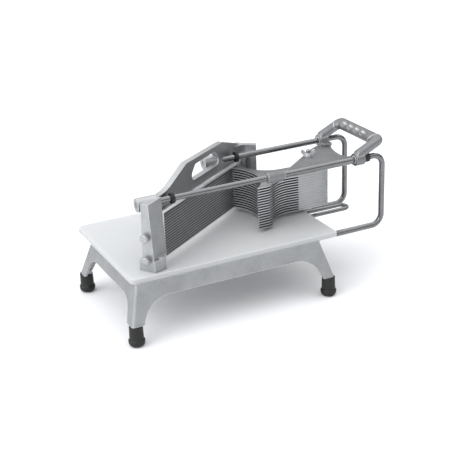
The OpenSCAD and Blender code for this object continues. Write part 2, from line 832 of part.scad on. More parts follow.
// Plan of a fin: hollow leading edge, two hollow flanks and the neck that the stack holds
module fin_outline() {
  difference() {
    polygon([[fin_nose_x, fin_front_y], [side_front_at[0], fin_front_y],
             [side_front_at[0], side_front_at[1] + side_front_r], [stack_x, neck_front],
             [stack_end, neck_front], [stack_end, stack_back], [stack_corner, stack_back],
             [stack_step, neck_rear], [side_rear_at[0], side_rear_at[1] - side_rear_r],
             [side_rear_at[0], fin_heel[1]], fin_heel, fin_tip, [fin_nose_x, fin_rear_y]]);
    translate(fin_nose_at) circle(fin_r, $fn = 128);
    translate(side_front_at) circle(side_front_r, $fn = 96);
    translate(side_rear_at) circle(side_rear_r, $fn = 96);
    difference() {
      translate([fin_round_at[0], fin_front_y - over]) square([fin_round_r, fin_round_r + over]);
      translate(fin_round_at) circle(fin_round_r, $fn = 96);
      translate([fin_round_at[0], fin_round_at[1] + (side_front_at[1] - fin_round_at[1]) * fin_round_r
                                  / (side_front_r + fin_round_r)]) square(fin_round_r);
    }
    for (p = stack_bolts_at) translate(p) circle(bolt_d / 2 + bolt_fit);
  }
}

module pusher_fins() {
  color("silver") placed() in_work() for (i = [0 : blade_count - 1])
    translate([0, 0, board_top + stack_low + i * blade_pitch - fin_t / 2])
      linear_extrude(fin_t) fin_outline();
}

module spacer_outline() {
  difference() {
    polygon([[stack_x, neck_front], [stack_end, neck_front], [stack_end, stack_back],
             [spacer_back_x, stack_back], [stack_x, spacer_front_y]]);
    for (p = stack_bolts_at) translate(p) circle(bolt_d / 2 + bolt_fit);
  }
}

module pusher_spacers() {
  color("gainsboro") placed() in_work() translate([0, 0, board_top]) {
    for (i = [0 : blade_count - 2])
      translate([0, 0, stack_low + i * blade_pitch + fin_t / 2]) linear_extrude(spacer_t) spacer_outline();
    translate([0, 0, fin_top]) linear_extrude(carriage_z - fin_top) spacer_outline();
  }
}

module carriage_plate() {
  color("silver") placed() difference() {
    union() {
      in_work()
        prism(concat([[carriage_nose[0], carriage_front], carriage_nose, carriage_nose_in, carriage_bend,
                      carriage_bend_in, carriage_shoulder, carriage_rear_left, carriage_rear_right],
                     carriage_waist, [[carriage_front_right, carriage_front]]),
              board_top + carriage_z, carriage_t);
      translate([0, rod_front_y, rod_z]) along_x(guide_x, guide_l, sleeve_r);
      translate([carriage_nose[0], rod_front_y, board_top + carriage_z])
        cube([guide_x + guide_l - carriage_nose[0], carriage_nose[1] + work_y - rod_front_y, carriage_t]);
    }
    translate([0, rod_front_y, rod_z]) along_x(guide_x - over, guide_l + 2 * over, bush_r + fit);
    for (p = stack_bolts_at) in_work() translate([p[0], p[1], board_top + carriage_z - over])
      cylinder(h = carriage_t + 2 * over, r = bolt_d / 2 + bolt_fit);
    for (p = handle_screws_at) translate([p[0], p[1], board_top + carriage_z - over])
      cylinder(h = carriage_t + 2 * over, r = handle_screw_r + fit);
  }
}

pad_x = arm_base_x - pad_l / 2;
pad_z = board_top + carriage_z + carriage_t;
handle_screws_at = [[arm_base_x, rod_front_y + handle_screw_in], [arm_base_x, rod_rear_y - handle_screw_in]];

// Oval ball on the handle's slope: x runs up the slope from the sleeves, y along the grip
module handle_knot(x, y) {
  translate([x, y, 0]) scale([grip_w / 2, arm_w / 2, grip_t / 2]) sphere(1, $fn = bar_fn);
}

// Bar of the handle: two arms over the rods and the grip between them
module handle_bar() {
  side = rod_span / 2;
  hull() for (y = [-1, 1]) handle_knot(arm_l, y * (side - grip_bend));
  for (y = [-1, 1]) {
    hull() { handle_knot(grip_w / 2 - arm_foot, y * side); handle_knot(arm_l - grip_bend, y * side); }
    hull() { handle_knot(arm_l - grip_bend, y * side); handle_knot(arm_l, y * (side - grip_bend)); }
  }
}

module pusher_handle() {
  color("silver") placed() difference() {
    union() {
      translate([arm_base_x, mid_y, rod_z + arm_lift]) rotate([0, -handle_tilt, 0]) difference() {
        handle_bar();
        for (i = [0 : finger_count - 1])
          translate([arm_l + finger_out - finger_long,
                     (i - (finger_count - 1) / 2) * finger_pitch + finger_shift, grip_t / 2 + finger_w - finger_deep])
            rotate([0, 90, 0]) cylinder(h = finger_long, r = finger_w);
      }
      translate([0, rod_front_y, rod_z]) along_x(front_drum_x, drum_l, drum_d / 2);
      translate([0, rod_rear_y, rod_z]) along_x(rear_drum_x, drum_l, drum_d / 2);
      translate([pad_x, rod_front_y + pad_from, pad_z]) cube([pad_l, pad_in - pad_from, pad_lift]);
      translate([pad_x, rod_rear_y - pad_in, pad_z]) cube([pad_l, pad_in - pad_from, pad_lift]);
    }
    translate([0, rod_front_y, rod_z]) along_x(front_drum_x - over, drum_l + 2 * over, bush_r + fit);
    translate([0, rod_rear_y, rod_z]) along_x(rear_drum_x - over, drum_l + ring_t + over, bush_r + fit);
    translate([0, rod_front_y, rod_z]) along_x(front_drum_x + drum_l, ring_t + over, ring_d / 2 + seat);
    for (p = handle_screws_at) translate([p[0], p[1], pad_z - over])
      cylinder(h = handle_screw_bite + over, r = handle_screw_r + fit);
  }
}

module handle_screws() {
  color("gray") placed() for (p = handle_screws_at) translate([p[0], p[1], board_top + carriage_z])
    screw_up(handle_screw_r, carriage_t + handle_screw_bite - seat, handle_screw_head_r, handle_screw_head_h);
}

module sleeve_bushes() {
  color("whitesmoke") placed() {
    translate([0, rod_front_y, rod_z]) {
      ring_x(guide_x, guide_l, bush_r, rod_r + slide_fit);
      ring_x(front_drum_x, drum_l, bush_r, rod_r + slide_fit);
    }
    translate([0, rod_rear_y, rod_z]) ring_x(rear_drum_x, drum_l, bush_r, rod_r + slide_fit);
  }
}

stud_low = board_top + stack_low - fin_t / 2 - stack_nut_t;
stud_top = board_top + carriage_z + carriage_t + stud_proud;

// Stud for the wing nut, and a second one that ends flush with the plate
module stack_bolts() {
  ends = [stud_top, board_top + carriage_z + carriage_t];
  color("gray") placed() in_work() for (i = [0, 1])
    translate([stack_bolts_at[i][0], stack_bolts_at[i][1], stud_low])
      cylinder(h = ends[i] - stud_low, d = bolt_d);
}

module stack_nuts() {
  color("gray") placed() in_work() for (p = stack_bolts_at)
    translate([p[0], p[1], stud_low]) hex_nut(stack_nut_flats, stack_nut_t, bolt_d / 2 + fit);
}

// Wing nut on the stud: a tapered hub and two raised wings
module wing_nut() {
  color("lightgray") placed() in_work()
    translate([stack_bolts_at[0][0], stack_bolts_at[0][1], board_top + carriage_z + carriage_t + fit])
      difference() {
        union() {
          cylinder(h = wing_hub_h, r = wing_hub_r);
          for (a = [0, 180]) rotate(wing_turn + a) rotate([90, 0, 0]) translate([0, 0, -wing_blade_t / 2])
            linear_extrude(wing_blade_t) {
              polygon([[wing_hub_r / 2, over], [wing_hub_r, over],
                       [wing_span / 2, wing_lift - wing_blade_r],
                       [wing_span / 2 - 2 * wing_blade_r, wing_lift - wing_blade_r / 2],
                       [wing_hub_r / 2, wing_hub_h]]);
              translate([wing_span / 2 - wing_blade_r, wing_lift - wing_blade_r]) circle(wing_blade_r);
            }
        }
        translate([0, 0, -over]) cylinder(h = wing_lift + 2 * over, r = bolt_d / 2 + fit);
      }
}

base_frame();
slide_board();
foot_front_left();
foot_front_right();
foot_rear_left();
foot_rear_right();
board_screws();
guide_rod_front();
guide_rod_rear();
rod_nuts();
table_stop();
table_stop_clips();
table_stop_screws();
head_casting();
head_screws();
head_washer_front();
head_washer_rear();
stop_ring_front();
cassette_top_bar();
cassette_end_front();
cassette_end_rear();
slicing_blades();
blade_pins();
cassette_screw_upper();
cassette_screw_lower();
pusher_fins();
pusher_spacers();
carriage_plate();
pusher_handle();
handle_screws();
sleeve_bushes();
stack_bolts();
stack_nuts();
wing_nut();
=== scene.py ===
"""Tomato slicer: finished pieces, materials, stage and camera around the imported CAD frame."""
import json
import math

import bmesh
import bpy
import numpy as np
from bpy.props import FloatProperty, PointerProperty
from mathutils import Matrix, Vector
from mathutils.geometry import tessellate_polygon


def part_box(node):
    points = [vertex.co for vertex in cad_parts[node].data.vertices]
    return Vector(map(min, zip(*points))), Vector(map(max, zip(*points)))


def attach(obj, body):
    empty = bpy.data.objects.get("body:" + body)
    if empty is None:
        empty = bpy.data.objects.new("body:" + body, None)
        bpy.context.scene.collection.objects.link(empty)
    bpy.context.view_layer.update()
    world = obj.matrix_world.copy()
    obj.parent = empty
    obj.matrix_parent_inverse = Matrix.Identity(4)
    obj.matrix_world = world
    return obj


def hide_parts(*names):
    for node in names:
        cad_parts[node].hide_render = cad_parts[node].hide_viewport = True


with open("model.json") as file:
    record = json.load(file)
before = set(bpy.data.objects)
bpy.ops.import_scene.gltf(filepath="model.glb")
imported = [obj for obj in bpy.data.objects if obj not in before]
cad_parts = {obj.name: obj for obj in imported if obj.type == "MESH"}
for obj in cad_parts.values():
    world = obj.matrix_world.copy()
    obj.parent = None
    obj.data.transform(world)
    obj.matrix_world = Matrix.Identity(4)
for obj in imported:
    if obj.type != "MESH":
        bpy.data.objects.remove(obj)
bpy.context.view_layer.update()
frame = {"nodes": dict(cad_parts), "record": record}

bl_info = {
    "name": "Tomato Slicer",
    "version": (1, 0, 0),
    "blender": (4, 5, 0),
    "location": "View3D > Sidebar > Slicer",
    "description": "Builds the visible pieces of a hand-pushed tomato slicer around its CAD frame",
    "category": "Add Mesh",
}

# Places in millimetres, measured from the middle of the board, with the counter at z = 0

METRE = 1000.0
BOARD_LOW, BOARD_HIGH = (np.array(corner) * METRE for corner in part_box("slide_board"))
MIDDLE = np.array([*(BOARD_LOW + BOARD_HIGH)[:2] / 2, 0.0])
BOARD_TOP = BOARD_HIGH[2]


def span(node):
    """Lowest and highest corner of a CAD node in millimetres from the middle of the board."""
    return tuple(np.array(corner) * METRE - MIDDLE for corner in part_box(node))


FRONT_ROD, REAR_ROD = span("guide_rod_front"), span("guide_rod_rear")
ROD_R = (FRONT_ROD[1][1] - FRONT_ROD[0][1]) / 2
ROD_Z = FRONT_ROD[1][2] - ROD_R
ROD_LOW_Z = FRONT_ROD[0][2] + ROD_R
ROD_FRONT_Y = FRONT_ROD[0][1] + ROD_R
ROD_REAR_Y = REAR_ROD[0][1] + ROD_R
ROD_END_X = FRONT_ROD[1][0] - ROD_R
MID_Y = (ROD_FRONT_Y + ROD_REAR_Y) / 2
BEND_R, BEND_STEPS = 20.0, 16
STOP_WIDTH, STOP_BEND = 20.0, 5.0
CLEARANCE = 0.05

# The head's frame has x along the blades, y to the back and z up from the board

HEAD_ANGLE = math.radians(35)
HEAD_WAY = (math.cos(HEAD_ANGLE), math.sin(HEAD_ANGLE), 0.0)
HEAD_FRONT = (HEAD_WAY[1], -HEAD_WAY[0], 0.0)
HEAD_BACK = (-HEAD_WAY[1], HEAD_WAY[0], 0.0)
PITCH, BLADES, BLADE_LOW = 4.76, 17, 10.5
BLADE_RISE = PITCH * (BLADES - 1)
BLADE_RUN, BLADE_BACK, BLADE_EDGE, BLADE_THICK = (-153.5, 116.8), -3.0, -11.0, 0.5
STRIP_WIDE, STRIP_FRONT, STRIP_BACK = 6.0, -11.5, -2.5
STRIP_LOW, STRIP_TOP = 8.0, BLADE_LOW + BLADE_RISE + 2.0
FRONT_STRIP_X, REAR_STRIP_X = -155.7, 113.0
TAB_END_X, TAB_TALL = 125.7, 12.0
BAR_END_X, BAR_FRONT, BAR_BACK, BAR_TALL = 124.0, -12.2, -6.2, 5.5
SCREW_X, SCREW_Y, SCREW_HEIGHTS = -206.3, -4.0, {"upper": 62.0, "lower": 22.0}

# Arcs of a fin's plan, as centre, radius, first and last angle in degrees and steps, then its plain corners

FIN_TIP = ((92.05, -53.0), 15.0, -90.0, -23.2, 10)
FIN_FRONT_FLANK = ((155.0, -80.0), 53.5, 156.8, 90.0, 28)
FIN_REAR_FLANK = ((156.0, 52.0), 54.5, 270.0, 177.9, 32)
FIN_HOLLOW = ((19.7, -4.5), 82.4, 54.3, -50.4, 48)
FIN_REAR_TIP = [(97.0, 54.0), (80.0, 64.0)]
NECK_STEP_X, NECK_NOTCH = 205.0, (190.0, -5.0)
BLOCK_BACK_X, BLOCK_TIP = 226.0, 1.4
(NECK_LEFT, NECK_FRONT, _), (NECK_RIGHT, NECK_BACK, BLOCK_TOP) = span("pusher_spacers")

# The handle's own plan has x from its foot to the grip. Ridges are counted in sections along the bar, with
# their width. A drum is a sleeve on a rod: its left end, the rod's place, the way inwards and how far the bar
# keeps off the rod

PLATE_TOP = BOARD_TOP + 104.0
HANDLE_X, HANDLE_RISE, HANDLE_TILT = 265.0, 8.5, math.radians(24.7)
HANDLE_AT = np.array([HANDLE_X, MID_Y, ROD_Z + HANDLE_RISE])
GRIP_MIDDLE, GRIP_HALF, BAR_HALF, ARM_HALF, ARM_FOOT = 43.8, 11.3, 8.4, 9.0, -7.0
OUTER_CORNER, INNER_CORNER, TOE = 14.0, 5.0, 9.0
ARM_STEPS, CORNER_STEPS, GRIP_STEPS = 33, 14, 120
RIDGES = ((ARM_STEPS - 2, 1.0), (ARM_STEPS + CORNER_STEPS + GRIP_STEPS - 3, 1.6))
HOLLOWS, HOLLOW_PITCH, HOLLOW_OFF, HOLLOW_R, HOLLOW_UP = 4, 20.7, 6.0, 11.0, 7.1
HOLLOW_EDGE_X, HOLLOW_SLOPE, HOLLOW_BLEND = 42.3, 1.2, 0.6
# The painted highlight in the finger hollows: where it starts across the grip, the run over which it rises,
# and the depth at which it is full
HIGHLIGHT_FROM_X, HIGHLIGHT_RUN, HIGHLIGHT_DEEP = 40.5, 3.0, 1.5
DRUM_LONG, DRUM_R = 18.5, 11.5
DRUMS = ((255.2, ROD_FRONT_Y, 1, 8.8), (256.0, ROD_REAR_Y, -1, 6.2))
PAD_HALF, PAD_NEAR, PAD_FAR, PAD_TALL = 8.5, 8.5, 24.0, 5.5

# Profiles of turned pieces as (radius, height), and the plan of a wing

KNOB = [(0, 0), (5.6, 0), (7.0, 0.9), (7.25, 1.6), (7.25, 5.8), (6.8, 6.6), (5.2, 7.0), (0, 7.0)]
SHANK = [(0, 6.5), (4.4, 6.6), (4.95, 7.3), (4.95, 9.6), (4.6, 10.0), (3.0, 10.0), (3.0, 52.6), (0, 52.6)]
KNURLS, KNURL_SHARE = 24, 0.028
HUB = [(4.1, 0), (6.2, 0), (6.5, 0.5), (6.3, 3.0), (5.4, 6.7), (5.0, 7.0), (4.4, 7.0), (4.1, 6.6)]
WING = [(4.3, 0.8), (6.6, 0.8), (13.0, 7.4), (13.0, 12.4), (10.4, 14.0), (6.2, 10.6), (4.3, 6.6)]
WING_CORNERS = (0.2, 1.0, 2.6, 2.0, 1.6, 2.6, 0.2)
WING_HALF, WING_TURN = 1.3, math.radians(-32)
STUD_R, STUD_END_R, THREAD_IN, THREAD_OUT, THREAD_RISE, TURNS = 4.0, 3.2, 3.55, 3.98, 0.62, 12
STUDS = ((204.0, -17.0), (226.0, 0.0))
PEG_R, PEG_DEEP, SOLE_R, AXIS_R = 7.3, 10.0, 6.0, 0.02
FOOT_CORNERS = (0.01, 1, 4, 4, 2.5, 1.6, 1.2, 0.9, 0.5, 0.5, 0.01)

# Painted light and shade on a casting: the way a face looks, the way of a stretch, its two ends and the
# shares of tone there

LEFT = (-1.0, 0.0, 0.0)
# Painted shade on the base's faces that look left
BASE_PAINTED_SHADE = ((LEFT, LEFT, 0.0, 1.0, 0.84, 0.84),)
# On the head: painted shade on the front faces, most on the plate past the post, painted light on the front
# towards the rear wing, and painted shade on the back faces
HEAD_PAINTED_LIGHT = (
    (HEAD_FRONT, HEAD_WAY, -158.0, -142.0, 0.72, 0.48),
    (HEAD_FRONT, HEAD_WAY, -20.0, 120.0, 1.0, 1.4),
    (HEAD_BACK, HEAD_WAY, 0.0, 1.0, 0.7, 0.7),
)
COOL = (0.985, 1.0, 1.015)
PALE = (0.985, 1.0, 1.01)
WHITE = (1.0, 1.0, 1.0)

# The camera of the photo: its direction from the board in radians, and its place along its own axes. Then the
# lights, whose stretches say between which places on the sky they rise, and the floor in metres

SHOT_TURN, SHOT_HEIGHT, SHOT_ROLL = math.radians(-25.9), math.radians(23.1), math.radians(-2.1)
SHOT_AWAY, SHOT_ACROSS, SHOT_ABOVE = 2012, 41, 100
SENSOR = 36.0
KEY_WAY, KEY_WIDTH = (-0.85, -0.12, 0.65), math.radians(50)
SKY_STRETCH, LEFT_STRETCH = (0.1, 0.75), (-0.35, -0.9)
FLOOR_HALF = 12.0


# Shapes worked out as whole arrays

def faces_of_grid(rows, columns, closed=False):
    """Quads of a grid whose point (i, j) has the number i * columns + j. The last column is joined to the
    first, and where the grid is closed, the last row too."""
    i = np.arange(rows if closed else rows - 1)[:, None]
    j = np.arange(columns)[None, :]
    down, right = (i + 1) % rows, (j + 1) % columns
    corners = (i * columns + j, i * columns + right, down * columns + right, down * columns + j)
    return np.stack(corners, axis=-1).reshape(-1, 4).tolist()


def faces_of_bar(rows, columns):
    """Quads of a grid, with one face over its first row and one over its last."""
    last = (rows - 1) * columns
    ends = [list(range(columns))[::-1], list(range(last, last + columns))]
    return faces_of_grid(rows, columns) + ends


def rectangle(left, right, front, back):
    """Corners of a rectangle, counter-clockwise from the front left."""
    return [(left, front), (right, front), (right, back), (left, back)]


def arc(centre, radius, start, end, steps):
    """Points on a circle round centre, from angle start to end in degrees."""
    a = np.radians(np.linspace(start, end, steps + 1))
    return np.stack([centre[0] + radius * np.cos(a), centre[1] + radius * np.sin(a)], axis=1)


def rounded(corners, radii, steps=6):
    """Polygon with each corner replaced by an arc of its own radius, tangent to both edges: the unit
    vectors from the arc's centre to its two ends are turned into each other by equal angles."""
    p = np.asarray(corners, float)
    r = np.broadcast_to(np.asarray(radii, float), len(p))[:, None]
    back, ahead = np.roll(p, 1, 0) - p, np.roll(p, -1, 0) - p
    back /= np.linalg.norm(back, axis=1, keepdims=True)
    ahead /= np.linalg.norm(ahead, axis=1, keepdims=True)
    half = np.arccos(np.clip((back * ahead).sum(1, keepdims=True), -1, 1)) / 2
    middle = back + ahead
    middle /= np.maximum(np.linalg.norm(middle, axis=1, keepdims=True), 1e-9)
    centre = p + middle * r / np.maximum(np.sin(half), 1e-6)
    reach = r / np.maximum(np.tan(half), 1e-6)
    first, last = (p + back * reach - centre) / r, (p + ahead * reach - centre) / r
    turn = np.maximum(np.pi - 2 * half, 1e-6)[:, :, None]
    t = np.linspace(0, 1, steps + 1)[None, :, None]
    unit = (np.sin((1 - t) * turn) * first[:, None] + np.sin(t * turn) * last[:, None]) / np.sin(turn)
    return (centre[:, None] + unit * r[:, None]).reshape(-1, 2)


def inset(outline, distance):
    """Outline moved to its left by distance: each point goes along the sum of its two edges' normals,
    over one plus their product."""
    before, after = outline - np.roll(outline, 1, 0), np.roll(outline, -1, 0) - outline
    n = [np.stack([-e[:, 1], e[:, 0]], axis=1) / np.maximum(np.linalg.norm(e, axis=1, keepdims=True), 1e-9)
         for e in (before, after)]
    shared = 1 + (n[0] * n[1]).sum(1, keepdims=True)
    return outline + distance * (n[0] + n[1]) / np.maximum(shared, 0.2)


def stacked(outline, depths, heights):
    """Grid of points: the outline moved inwards by each depth, at the height of the same place."""
    return np.concatenate([np.column_stack([inset(outline, depth), np.full(len(outline), height)])
                           for depth, height in zip(depths, heights)])


def slab(outline, low, high, edge, steps=4):
    """Plate between two heights with rounded edges: its wall follows a quarter circle of radius edge
    below and above, and the two caps are filled. Its marks go from 0 on the caps to 1 on the wall."""
    a = np.linspace(0, np.pi / 2, steps + 1)
    depth = np.concatenate([edge * (1 - np.sin(a)), edge * (1 - np.sin(a[::-1]))])
    height = np.concatenate([low + edge * (1 - np.cos(a)), high - edge * (1 - np.cos(a[::-1]))])
    rows, count = len(depth), len(outline)
    points = stacked(outline, depth, height)
    faces = faces_of_grid(rows, count)
    for first, up in ((0, False), ((rows - 1) * count, True)):
        rim = [Vector((*spot[:2], 0)) for spot in points[first:first + count]]
        triangles = first + np.array(tessellate_polygon([rim]))
        p = points[triangles][:, :, :2]
        clockwise = np.cross(p[:, 1] - p[:, 0], p[:, 2] - p[:, 0]) < 0
        wrong = clockwise == up
        triangles[wrong] = triangles[wrong][:, ::-1]
        faces += triangles.tolist()
    return points, faces, np.repeat(1 - depth / edge, count)


def turned(profile, sides, ripple=0.0, count=0, closed=False):
    """Surface of revolution: each (radius, height) of the profile goes round the z axis. A ripple adds
    that share of the radius as a cosine with count waves. A closed profile makes a ring."""
    profile = np.asarray(profile, float)
    a = np.linspace(0, 2 * np.pi, sides, endpoint=False)
    swell = 1 + ripple * np.cos(count * a)
    r, z = profile[:, 0, None] * swell[None, :], np.repeat(profile[:, 1, None], sides, axis=1)
    points = np.stack([r * np.cos(a), r * np.sin(a), z], axis=-1).reshape(-1, 3)
    return points, faces_of_grid(len(profile), sides, closed)


def ring(bore, outer, length, edge, sides=48):
    """Flat ring with rounded edges: a rectangle with round corners turned round the z axis."""
    return turned(rounded(rectangle(bore, outer, 0, length), edge, 4), sides, closed=True)


def tube(path, radius, across, sides, edge=0.8, steps=4):
    """Round bar: a circle carried along the path, square to it, with its ends rounded by edge. across is
    the normal of the plane that the path lies in."""
    path = np.asarray(path, float)
    tangent = np.gradient(path, axis=0)
    tangent /= np.linalg.norm(tangent, axis=1, keepdims=True)
    a = np.linspace(0, np.pi / 2, steps + 1)[:-1]
    shrink = radius - edge * (1 - np.sin(a))
    start = path[0] - tangent[0] * (edge * np.cos(a))[:, None] + tangent[0] * edge
    end = path[-1] + tangent[-1] * (edge * np.cos(a[::-1]))[:, None] - tangent[-1] * edge
    centres = np.concatenate([start[:1], start, path[1:-1], end, end[-1:]])
    ends = [np.repeat(tangent[[place]], steps + 1, 0) for place in (0, -1)]
    along = np.concatenate([ends[0], tangent[1:-1], ends[1]])
    radii = np.concatenate([[0.0], shrink, np.full(len(path) - 2, radius), shrink[::-1], [0.0]])
    across = np.asarray(across, float)
    up = np.cross(across, along)
    angle = np.linspace(0, 2 * np.pi, sides, endpoint=False)
    circles = np.cos(angle)[None, :, None] * up[:, None] + np.sin(angle)[None, :, None] * across
    points = centres[:, None] + radii[:, None, None] * circles
    return points.reshape(-1, 3), faces_of_grid(len(centres), sides)


def laid_x(part, x, y, z):
    """A turned shape laid along +X, with the start of its axis at that place."""
    points, faces = part
    px, py, pz = points.T
    return np.stack([x + pz, y + py, z + px], axis=1), [face[::-1] for face in faces]


def moved(part, shift):
    """The same shape moved by a vector."""
    return (part[0] + np.asarray(shift, float), *part[1:])


def in_head(part):
    """A shape in the head's frame turned onto the board."""
    c, s = math.cos(HEAD_ANGLE), math.sin(HEAD_ANGLE)
    x, y, z = part[0].T
    return (np.stack([x * c - y * s, x * s + y * c, z + BOARD_TOP], axis=1), *part[1:])


def serrated_blade(tooth, deep, per_tooth=6, ground=2.4, wave=0.35, thin=0.04):
    """Blade with a ground, scalloped edge: along the blade the edge stands back by deep * |sin(pi * x /
    tooth)|, so its teeth are points. The section is a flat strip that tapers from the ground line, which
    goes in and out by wave * deep * sin(2 * pi * x / tooth), to an edge of twice thin."""
    start, end = BLADE_RUN
    x = np.linspace(start, end, int((end - start) / tooth * per_tooth) + 1)
    bow = BLADE_EDGE + deep * np.abs(np.sin(np.pi * (x - start) / tooth))
    line = BLADE_EDGE + ground + wave * deep * np.sin(2 * np.pi * (x - start) / tooth)
    h, back = BLADE_THICK / 2, np.full_like(x, BLADE_BACK)
    y = np.stack([back, back, line, bow, bow, line], axis=1)
    z = np.broadcast_to(np.array([-h, h, h, thin, -thin, -h]), y.shape)
    points = np.stack([np.broadcast_to(x[:, None], y.shape), y, z], axis=-1).reshape(-1, 3)
    # The ground line and the edge take the bright tone: real grinding and painted highlight
    marks = np.tile([0.0, 0.0, 0.25, 1.0, 1.0, 0.25], len(x))
    return points, faces_of_bar(len(x), 6), marks


def beaded_strip(left, bead=0.9, end=0.4, steps=8):
    """Upright strip whose edges swell between the blades: at height z the plan shrinks towards its middle
    by bead * (1 - sqrt(1 - t * t)), where t runs from -1 to 1 from one blade to the next. At its two ends
    it shrinks by no less than end."""
    z = np.linspace(STRIP_LOW, STRIP_TOP, int((STRIP_TOP - STRIP_LOW) / PITCH * steps) + 1)
    t = 2 * np.mod((z - BLADE_LOW) / PITCH, 1.0) - 1
    drawn = bead * (1 - np.sqrt(np.maximum(1 - t * t, 0)))
    drawn[[0, -1]] = np.maximum(drawn[[0, -1]], end)
    plan = rounded(rectangle(left, left + STRIP_WIDE, STRIP_FRONT, STRIP_BACK), 1.0, 4)
    return stacked(plan, drawn, z), faces_of_bar(len(z), len(plan))


def fin_plan():
    """Plan of a fin: the rounded front tip, the hollow front flank, the neck, the hollow rear flank, the
    rear tip and the hollow leading edge, as arcs that meet each other."""
    neck = [(NECK_LEFT, NECK_FRONT), (NECK_RIGHT, NECK_FRONT), (NECK_RIGHT, NECK_BACK),
            (NECK_STEP_X, NECK_BACK), NECK_NOTCH]
    return np.concatenate([arc(*FIN_TIP)[:-1], arc(*FIN_FRONT_FLANK), neck, arc(*FIN_REAR_FLANK),
                           FIN_REAR_TIP, arc(*FIN_HOLLOW)])


def handle_line(away, corner):
    """Outer or inner line of the handle's plan, as a D: the rear arm, a corner, the grip, a corner, the
    front arm. away is 1 for the outer line and -1 for the inner one."""
    far = GRIP_MIDDLE + away * GRIP_HALF
    wide = (ROD_REAR_Y - ROD_FRONT_Y) / 2 + away * ARM_HALF
    arm = np.linspace(ARM_FOOT, far - corner, ARM_STEPS + 1)
    grip = np.linspace(wide - corner, corner - wide, GRIP_STEPS)
    return np.concatenate([
        np.column_stack([arm[:-1], np.full(ARM_STEPS, wide)]),
        arc((far - corner, wide - corner), corner, 90, 0, CORNER_STEPS)[:-1],
        np.column_stack([np.full(GRIP_STEPS, far), grip]),
        arc((far - corner, corner - wide), corner, 0, -90, CORNER_STEPS)[1:],
        np.column_stack([arm[-2::-1], np.full(ARM_STEPS, -wide)])])


def handle_bar(section=2.4, around=72):
    """Bar of the handle on its slope. Each section spans from the inner to the outer line of the plan as
    an oval with that exponent: |x / half|^section + |z / thick|^section = 1. Four finger hollows lower
    the top: a hollow's height is that of a cylinder across the grip, plus a slope past its outer end, and
    it is joined to the oval by the smooth minimum (a + b - sqrt((a - b)^2 + blend^2)) / 2. Near each end
    of the grip the bar swells to a ridge of height exp(-t^2). Past the sleeves the bar keeps off the rods
    by a clearance."""
    outer, inner = handle_line(1.0, OUTER_CORNER), handle_line(-1.0, INNER_CORNER)
    place = np.arange(len(outer))
    near = np.min([np.abs(place - middle) / wide for middle, wide in RIDGES], axis=0)
    ridge = np.exp(-near ** 2.0)[:, None]
    a = np.linspace(0, 2 * np.pi, around, endpoint=False)
    across = np.sign(np.cos(a)) * np.abs(np.cos(a)) ** (2 / section) * (1 + 0.05 * ridge)
    thick = np.sign(np.sin(a)) * np.abs(np.sin(a)) ** (2 / section) * BAR_HALF * (1 + 0.08 * ridge)
    flat = (outer + inner)[:, None] / 2 + (outer - inner)[:, None] / 2 * across[..., None]
    x, y = flat[..., 0], flat[..., 1]
    toe = np.clip((x - ARM_FOOT) / TOE, 0.0, 1.0)
    oval = thick * np.sqrt(np.maximum(1 - (1 - toe) ** 2, 0.02))
    off = y[..., None] - (np.arange(HOLLOWS) - (HOLLOWS - 1) / 2) * HOLLOW_PITCH - HOLLOW_OFF
    hollow = (BAR_HALF + HOLLOW_UP - np.sqrt(np.maximum(HOLLOW_R ** 2 - off ** 2, 0.0)).max(-1)
              + HOLLOW_SLOPE * np.maximum(x - HOLLOW_EDGE_X, 0))
    joined = (oval + hollow - np.sqrt((oval - hollow) ** 2 + HOLLOW_BLEND ** 2)) / 2
    z = np.where(oval > 0, joined, oval)
    # Painted highlight in the finger hollows towards the grip's outer side, and along the ridges on the top
    # side
    marks = np.clip((oval - hollow) / HIGHLIGHT_DEEP, 0, 1) * np.clip((x - HIGHLIGHT_FROM_X) / HIGHLIGHT_RUN, 0, 1)
    marks = np.maximum(marks, 0.7 * ridge * (z > 0))
    c, s = math.cos(HANDLE_TILT), math.sin(HANDLE_TILT)
    points = np.stack([x * c - z * s, y, x * s + z * c], axis=-1) + HANDLE_AT
    for drum_x, rod_y, _, clear in DRUMS:
        rod = np.array([rod_y, ROD_Z])
        away = points[..., 1:] - rod
        reach = np.maximum(np.linalg.norm(away, axis=-1, keepdims=True), 1e-6)
        past = (points[..., :1] > drum_x + DRUM_LONG - 0.2) & (reach < clear)
        points[..., 1:] = np.where(past, rod + away * clear / reach, points[..., 1:])
    return points.reshape(-1, 3), faces_of_bar(len(outer), around), marks.reshape(-1)


def foot_profile(wide, tall):
    """Half section of a foot: the sole, a flared cup, the ring round it and the bore for the peg."""
    corners = [(AXIS_R, 0), (SOLE_R, 0), (10.4, 1.0), (12.9, 3.4), (wide, 7), (wide, 11), (12.1, 13.2),
               (11.6, tall), (PEG_R, tall), (PEG_R, PEG_DEEP), (AXIS_R, PEG_DEEP)]
    return rounded(corners, FOOT_CORNERS, 5)


def stud_profile(low, top):
    """Half section of a stud: a plain shank and, under its end, a thread whose radius goes in and out."""
    turns = np.arange(TURNS)
    radii = np.where(turns % 2, THREAD_IN, THREAD_OUT)
    heights = top - 0.8 - THREAD_RISE * turns[::-1]
    return np.concatenate([[(0, low), (STUD_R, low), (STUD_R, heights[0] - 0.6)],
                           np.column_stack([radii, heights]), [(STUD_END_R, top), (0, top)]])


# Making pieces

def linked(name, data):
    """New object at the origin with that mesh, light or camera."""
    obj = bpy.data.objects.new(name, data)
    bpy.context.scene.collection.objects.link(obj)
    return obj


def even_shading(obj):
    """Weighs the normals by the size of the faces, so that flat faces stay flat beside rounded edges."""
    normals = obj.modifiers.new("Even shading", "WEIGHTED_NORMAL")
    normals.weight = 100
    normals.keep_sharp = True


